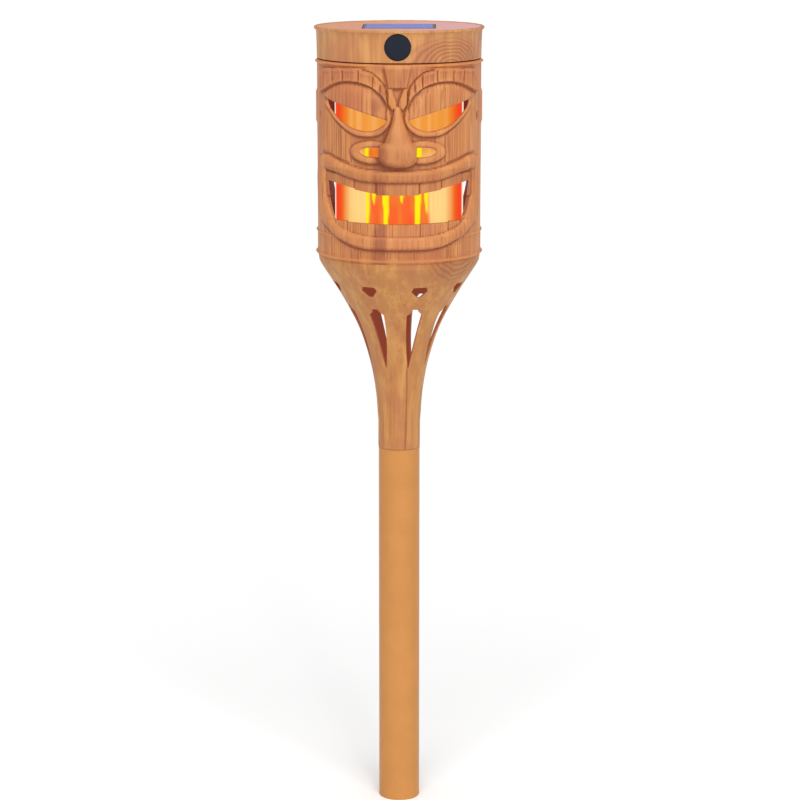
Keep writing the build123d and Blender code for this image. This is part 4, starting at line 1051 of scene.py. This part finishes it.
def glow_material(name, colour, strength):
    """A small lit piece: amber lens over its chip."""
    material, n, shader = new_material(name)
    place = n.add("ShaderNodeTexCoord").outputs["Object"]
    spots = n.noise(place, 500.0, 1.0)
    n.feed(shader.inputs["Emission Color"], n.mix(n.remap(spots, 0.4, 0.6), colour, (1.0, 0.8, 0.4, 1.0)))
    shader.inputs["Emission Strength"].default_value = strength
    n.feed(shader.inputs["Base Color"], n.mix(n.remap(spots, 0.4, 0.6), colour, (0.9, 0.8, 0.5, 1.0)))
    shader.inputs["Roughness"].default_value = 0.3
    return material


def cell_material(name, with_border_and_front_shade=False):
    """Solar cells: blue crystal flakes with fine printed fingers; the cover adds the epoxy's dark border and gaps,
    and painted shade along its front edge.
    """
    material, n, shader = new_material(name)
    place = n.add("ShaderNodeTexCoord").outputs["Object"]
    flakes = n.add("ShaderNodeTexVoronoi", {"Vector": place, "Scale": 260.0}).outputs["Color"]
    grey = n.add("ShaderNodeRGBToBW", {"Color": flakes}).outputs[0]
    blue = n.mix(n.remap(grey, 0.2, 0.8), tone("cell_blue"), srgb(96, 118, 212))
    axes = n.add("ShaderNodeSeparateXYZ", {"Vector": place})
    across, along = axes.outputs["X"], axes.outputs["Y"]
    fingers = n.math("ABSOLUTE", n.math("SINE", n.math("MULTIPLY", along, math.pi / 0.0016)))
    blue = n.mix(n.math("MULTIPLY", n.remap(fingers, 0.16, 0.06), 0.35), blue, srgb(170, 176, 214))
    if with_border_and_front_shade:
        strip = n.math("FRACT", n.math("DIVIDE", across, CELL_PITCH * MM))
        strip = n.math("ABSOLUTE", n.math("SUBTRACT", strip, 0.5))
        dark = n.math("MULTIPLY", n.remap(strip, 0.03, 0.012), 0.22)
        dark = n.math("MAXIMUM", dark, n.remap(n.math("ABSOLUTE", across), 0.0230, 0.0236))
        # Painted shade: a dark strip along the panel's front edge, where the recess's front wall shades it.
        dark = n.math("MAXIMUM", dark, n.remap(n.math("MULTIPLY", along, -1.0), 0.0120, 0.0180))
        blue = n.mix(dark, blue, srgb(30, 32, 66))
    n.feed(shader.inputs["Base Color"], blue)
    n.feed(shader.inputs["Roughness"], n.remap(grey, 0.0, 1.0, 0.30, 0.42))
    shader.inputs["Specular IOR Level"].default_value = 0.25
    return material


def make_materials():
    """Every finish of the torch, by the name of what it is on."""
    wood_grain_group()
    speckle_group()
    grain = (LIGHT_GRAIN, DARK_GRAIN, PINK_GRAIN)
    return {
        "mask": carved_material("Carved mask plastic", shades(tone("mask_wood"), *grain), 1.0, carve_shaded=True,
                                lined=True, veined=True),
        # The cap's knot on its right front is the grain's knot, and also painted shade that darkens the cap's right
        # side.
        "cap": carved_material("Cap plastic", shades(tone("cap_wood"), *grain), 0.5, top_lit=True, knot=1.0,
                               knot_place=(0.036, -0.045, 0.540), knot_reach=0.040, flattening=1.8),
        # The neck's glow is painted light on its inner face.
        "neck": carved_material("Neck plastic", shades(tone("neck_wood"), *grain), 0.45, carve_shaded=True, knot=0.9,
                                knot_place=(0.043, -0.036, 0.412), knot_reach=0.037, flattening=1.3, glow=0.8),
        "pole": moulded_material("Tan powder coat", tone("pole_coat"), 0.34, scale=1400.0, spread=0.04, gloss=0.12),
        "inner": moulded_material("Brown moulded plastic", srgb(120, 70, 44), 0.55),
        "black": moulded_material("Black moulded plastic", srgb(30, 30, 32), 0.5),
        "button": moulded_material("Navy button plastic", tone("button_plastic"), 0.6, scale=700.0, spread=0.12,
                                   gloss=0.2),
        "rubber": moulded_material("Black rubber", srgb(24, 24, 24), 0.75),
        "steel": moulded_material("Zinc plated steel", srgb(190, 190, 195), 0.32, metallic=1.0, spread=0.1),
        "nickel": moulded_material("Nickel plated steel", srgb(205, 203, 198), 0.2, metallic=1.0, spread=0.08),
        "copper": moulded_material("Enamelled copper", srgb(190, 105, 50), 0.3, metallic=1.0, scale=2500.0),
        "green": moulded_material("Green solder mask", srgb(24, 96, 52), 0.35, coat=0.4),
        "dark_board": moulded_material("Black solder mask", srgb(22, 22, 34), 0.35, coat=0.4),
        "film": moulded_material("Amber film", srgb(196, 132, 44), 0.3, coat=0.3),
        "epoxy": moulded_material("Black epoxy", srgb(26, 26, 27), 0.45),
        "sleeve": moulded_material("Battery sleeve", srgb(38, 120, 66), 0.3, coat=0.5, spread=0.1),
        "red_wire": moulded_material("Red silicone sleeve", srgb(170, 30, 24), 0.5),
        "flame": flame_material("Flame tube"),
        "led": glow_material("Amber lamp lens", (1.0, 0.55, 0.12, 1.0), 1.2),
        "cell": cell_material("Blue solar cell"),
        "cover": cell_material("Cells under clear epoxy", with_border_and_front_shade=True),
    }


NODE_FINISH = {
    "pole_tube": "pole", "top_collar": "inner", "base_tray": "inner", "tray_screws": "steel",
    "cap_base": "inner", "cap_screws": "steel", "cap_seal": "rubber", "panel_board": "dark_board",
    "solar_cells": "cell", "panel_cover": "cover", "button_clip": "black", "switch_plunger": "black",
    "switch_body": "black", "switch_board": "green", "switch_bracket": "inner", "main_board": "green",
    "board_screws": "steel", "controller_chip": "epoxy", "boost_inductor": "copper",
    "filter_capacitor": "nickel", "battery_cell": "sleeve", "battery_cradle": "black",
    "positive_contact": "nickel", "negative_spring": "nickel", "led_core": "black", "core_plug": "black",
    "led_flex_board": "film", "leds": "led", "diffuser_floor": "inner", "panel_leads": "red_wire",
    "led_leads": "red_wire", "switch_leads": "red_wire",
}
MATERIALS = {}


def dress(obj, finish):
    """Gives a piece one finish all over."""
    obj.data.materials.clear()
    obj.data.materials.append(MATERIALS[finish])


def place_piece(obj, finish, body, slot, *nodes):
    """Finish, body and replaced CAD nodes of a new piece; the record slot is not used."""
    dress(obj, finish)
    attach(obj, body)
    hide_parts(*nodes)


# ------------------------------------------------------------------ add-on


def colour_prop(name, description, default):
    """A colour that the user may change."""
    return bpy.props.FloatVectorProperty(name=name, description=description, default=default[:3], subtype="COLOR",
                                         min=0.0, max=1.0)


def length_prop(name, description, default, most):
    """A length that the user may change."""
    return bpy.props.FloatProperty(name=name, description=description, default=default, min=0.0, max=most,
                                   unit="LENGTH")


class TorchShapeProps(bpy.types.PropertyGroup):
    """Sizes of the carving."""

    nose_rise: length_prop("Nose", "How far the nose's ball stands out of the drum", 0.0072, 0.010)
    brow_rise: length_prop("Brows", "How far the planked brows stand out", 0.0018, 0.004)
    lip_rise: length_prop("Lips", "How far the rolled lips stand out", 0.0025, 0.004)
    ring_rise: length_prop("Rings", "How far the moulded rings stand out", 0.0017, 0.003)
    mark_depth: bpy.props.FloatProperty(
        name="Tool marks", description="Depth of the carver's upright tool marks, beside the usual", default=1.0,
        min=0.0, max=2.0)


class TorchFinishProps(bpy.types.PropertyGroup):
    """Colours of the torch."""

    mask_wood: colour_prop("Mask wood", "Main colour of the carved drum", srgb(188, 119, 69))
    cap_wood: colour_prop("Cap wood", "Main colour of the cap's band", srgb(186, 126, 74))
    neck_wood: colour_prop("Neck wood", "Main colour of the flared neck", srgb(177, 118, 64))
    # Painted shade: dark colour laid in the carving's hollows; the same colour darkens the neck's seams and, thinly,
    # the flat faces.
    painted_shade: colour_prop("Painted shade", "Dark wash that lies in the carving", srgb(124, 56, 30))
    # Painted highlight, partly worn edges: lighter colour laid on the parts that stand out and along the rings.
    wear_and_highlight: colour_prop("Worn edges and highlight", "Lighter colour of the parts that stand out", srgb(204, 134, 79))
    lining: colour_prop("Lining", "Inside of the drum and the neck", srgb(119, 37, 29))
    pole_coat: colour_prop("Pole coat", "Powder coat of the pole", srgb(188, 129, 71))
    button_plastic: colour_prop("Button", "Colour of the push button", srgb(18, 24, 38))
    cell_blue: colour_prop("Solar cells", "Darker blue of the solar cells", srgb(70, 92, 190))


class TorchLightProps(bpy.types.PropertyGroup):
    """Light, floor and camera of the studio."""

    floor_tone: bpy.props.FloatVectorProperty(
        name="Floor tone", description="Colour of the pale floor", default=(0.96, 0.96, 0.96), subtype="COLOR")
    sky_strength: bpy.props.FloatProperty(
        name="Sky strength", description="Strength of the even light from all round", default=0.62, min=0.0)
    strip_power: bpy.props.FloatProperty(
        name="Strip power", description="Power of the tall strip light in front", default=3.5, unit="POWER")
    broad_strength: bpy.props.FloatProperty(
        name="Broad light", description="Strength of the very soft light from above the front", default=2.0, min=0.0)
    eye_distance: bpy.props.FloatProperty(
        name="Camera distance", description="How far the camera stands in front of the pole's axis",
        default=1.770, unit="LENGTH")
    eye_height: bpy.props.FloatProperty(
        name="Camera height", description="Height of the camera over the pole's lower end", default=0.6765,
        unit="LENGTH")
    eye_turn: bpy.props.FloatProperty(
        name="Camera turn", description="How far the camera stands round to the right", default=math.radians(1.0),
        subtype="ANGLE")
    eye_side: bpy.props.FloatProperty(
        name="Camera side step", description="How far to the right of the pole's axis the camera aims",
        default=0.0006, unit="LENGTH")
    eye_tilt: bpy.props.FloatProperty(
        name="Camera tilt", description="How far the camera looks down", default=math.radians(12.08),
        subtype="ANGLE")
    lens: bpy.props.FloatProperty(name="Lens", description="Focal length in millimetres", default=113.76, min=1.0)


def hang_light(data, place, direction):
    """Puts a light in the studio, shining this way."""
    lamp = bpy.data.objects.new(data.name, data)
    lamp.location = place
    lamp.rotation_euler = Vector(direction).to_track_quat("-Z", "Y").to_euler()
    bpy.context.scene.collection.objects.link(lamp)


class TorchOperator(bpy.types.Operator):
    """Base of the torch's operators."""

    bl_options = {"REGISTER", "UNDO"}


class TORCH_OT_finishes(TorchOperator):
    """Makes every material and gives each CAD part that stays in view its own"""

    bl_idname = "torch.finishes"
    bl_label = "Finishes"

    def execute(self, context):
        MATERIALS.update(make_materials())
        for node, finish in NODE_FINISH.items():
            dress(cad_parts[node], finish)
        return {"FINISHED"}


class TORCH_OT_mask(TorchOperator):
    """Carves the drum's front and copies it to the back"""

    bl_idname = "torch.mask"
    bl_label = "Carved mask"

    def execute(self, context):
        front = carved_half("mask_front")
        back = facing_back(front, "mask_back")
        place_piece(front, "mask", "head", "plastic_woodgrain", "face_shell_front")
        place_piece(back, "mask", "head", "plastic_woodgrain", "face_shell_back")
        return {"FINISHED"}


class TORCH_OT_neck(TorchOperator):
    """Spins the flared neck and cuts the windows between its staves"""

    bl_idname = "torch.neck"
    bl_label = "Flared neck"

    def execute(self, context):
        place_piece(flared_neck("neck_flare"), "neck", "head", "plastic_neck", "neck_basket")
        return {"FINISHED"}


class TORCH_OT_cap(TorchOperator):
    """Spins the solar cap and cuts its panel recess and button seat"""

    bl_idname = "torch.cap"
    bl_label = "Solar cap"

    def execute(self, context):
        place_piece(solar_cap("cap_band"), "cap", "solar_unit", "plastic_woodgrain", "cap_shell")
        return {"FINISHED"}


class TORCH_OT_button(TorchOperator):
    """Turns the round push button"""

    bl_idname = "torch.button"
    bl_label = "Push button"

    def execute(self, context):
        place_piece(push_button("button_face"), "button", "button", "button_rubber", "power_button")
        return {"FINISHED"}


class TORCH_OT_lamp(TorchOperator):
    """Spins the frosted lamp tube and colours its flame"""

    bl_idname = "torch.lamp"
    bl_label = "Lamp tube"

    def execute(self, context):
        place_piece(lamp_tube("lamp_tube"), "flame", "solar_unit", "diffuser", "flame_diffuser")
        return {"FINISHED"}


class TORCH_OT_stage(TorchOperator):
    """Lays the pale floor, hangs the soft lights and places the camera"""

    bl_idname = "torch.stage"
    bl_label = "Studio"

    def execute(self, context):
        props = context.scene.torch_light
        deselect()
        bpy.ops.mesh.primitive_plane_add(size=60.0, location=(0, 0, 0))
        floor = context.object
        floor.name = "studio_floor"
        material, n, shader = new_material("Pale studio floor")
        place = n.add("ShaderNodeTexCoord").outputs["Object"]
        plain = tuple(props.floor_tone) + (1.0,)
        softer = tuple(c * 0.985 for c in props.floor_tone) + (1.0,)
        n.feed(shader.inputs["Base Color"], n.mix(n.noise(place, 3.0), softer, plain))
        shader.inputs["Roughness"].default_value = 0.9
        shader.inputs["Specular IOR Level"].default_value = 0.1
        floor.data.materials.append(material)

        world = bpy.data.worlds.new("Studio sky")
        context.scene.world = world
        world.use_nodes = True
        sky = world.node_tree.nodes["Background"]
        sky.inputs["Color"].default_value = (1.0, 1.0, 1.0, 1.0)
        n = Nodes(world.node_tree)
        seen = n.add("ShaderNodeLightPath").outputs["Is Camera Ray"]
        n.feed(sky.inputs["Strength"], n.remap(seen, 0.0, 1.0, props.sky_strength, 1.0))

        strip = bpy.data.lights.new("strip_light", "AREA")
        strip.shape = "RECTANGLE"
        strip.size = 0.12
        strip.size_y = 1.2
        strip.energy = props.strip_power
        hang_light(strip, (0.36, -1.5, 0.42), (-0.36, 1.5, -0.1))
        broad = bpy.data.lights.new("broad_light", "SUN")
        broad.energy = props.broad_strength
        broad.angle = math.radians(50.0)
        hang_light(broad, (0.0, 0.0, 2.0), (-0.06, 0.68, -0.73))

        data = bpy.data.cameras.new("studio_camera")
        data.lens = props.lens
        data.clip_end = 200.0
        camera = bpy.data.objects.new("studio_camera", data)
        turned = Matrix.Rotation(props.eye_turn, 3, "Z")
        camera.location = turned @ Vector((props.eye_side, -props.eye_distance, props.eye_height))
        camera.rotation_euler = (math.pi / 2 - props.eye_tilt, 0.0, props.eye_turn)
        context.scene.collection.objects.link(camera)
        context.scene.camera = camera
        context.scene.view_settings.view_transform = "Standard"
        return {"FINISHED"}


OPERATORS = (TORCH_OT_finishes, TORCH_OT_mask, TORCH_OT_neck, TORCH_OT_cap, TORCH_OT_button, TORCH_OT_lamp,
             TORCH_OT_stage)


class TORCH_PT_panel(bpy.types.Panel):
    """Sidebar panel that lists the torch's pieces"""

    bl_label = "Mask torch"
    bl_idname = "TORCH_PT_panel"
    bl_space_type = "VIEW_3D"
    bl_region_type = "UI"
    bl_category = "Mask torch"

    def draw(self, context):
        for operator in OPERATORS:
            self.layout.operator(operator.bl_idname)
        for group in (context.scene.torch_shape, context.scene.torch_finish, context.scene.torch_light):
            for name in group.__annotations__:
                self.layout.prop(group, name)


CLASSES = (TorchShapeProps, TorchFinishProps, TorchLightProps) + OPERATORS + (TORCH_PT_panel,)


def register():
    for cls in CLASSES:
        bpy.utils.register_class(cls)
    bpy.types.Scene.torch_shape = bpy.props.PointerProperty(type=TorchShapeProps)
    bpy.types.Scene.torch_finish = bpy.props.PointerProperty(type=TorchFinishProps)
    bpy.types.Scene.torch_light = bpy.props.PointerProperty(type=TorchLightProps)


def unregister():
    del bpy.types.Scene.torch_light
    del bpy.types.Scene.torch_finish
    del bpy.types.Scene.torch_shape
    for cls in reversed(CLASSES):
        bpy.utils.unregister_class(cls)


def main():
    """Registers the add-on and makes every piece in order."""
    register()
    for operator in OPERATORS:
        group, name = operator.bl_idname.split(".")
        getattr(getattr(bpy.ops, group), name)()


if __name__ == "__main__":
    main()
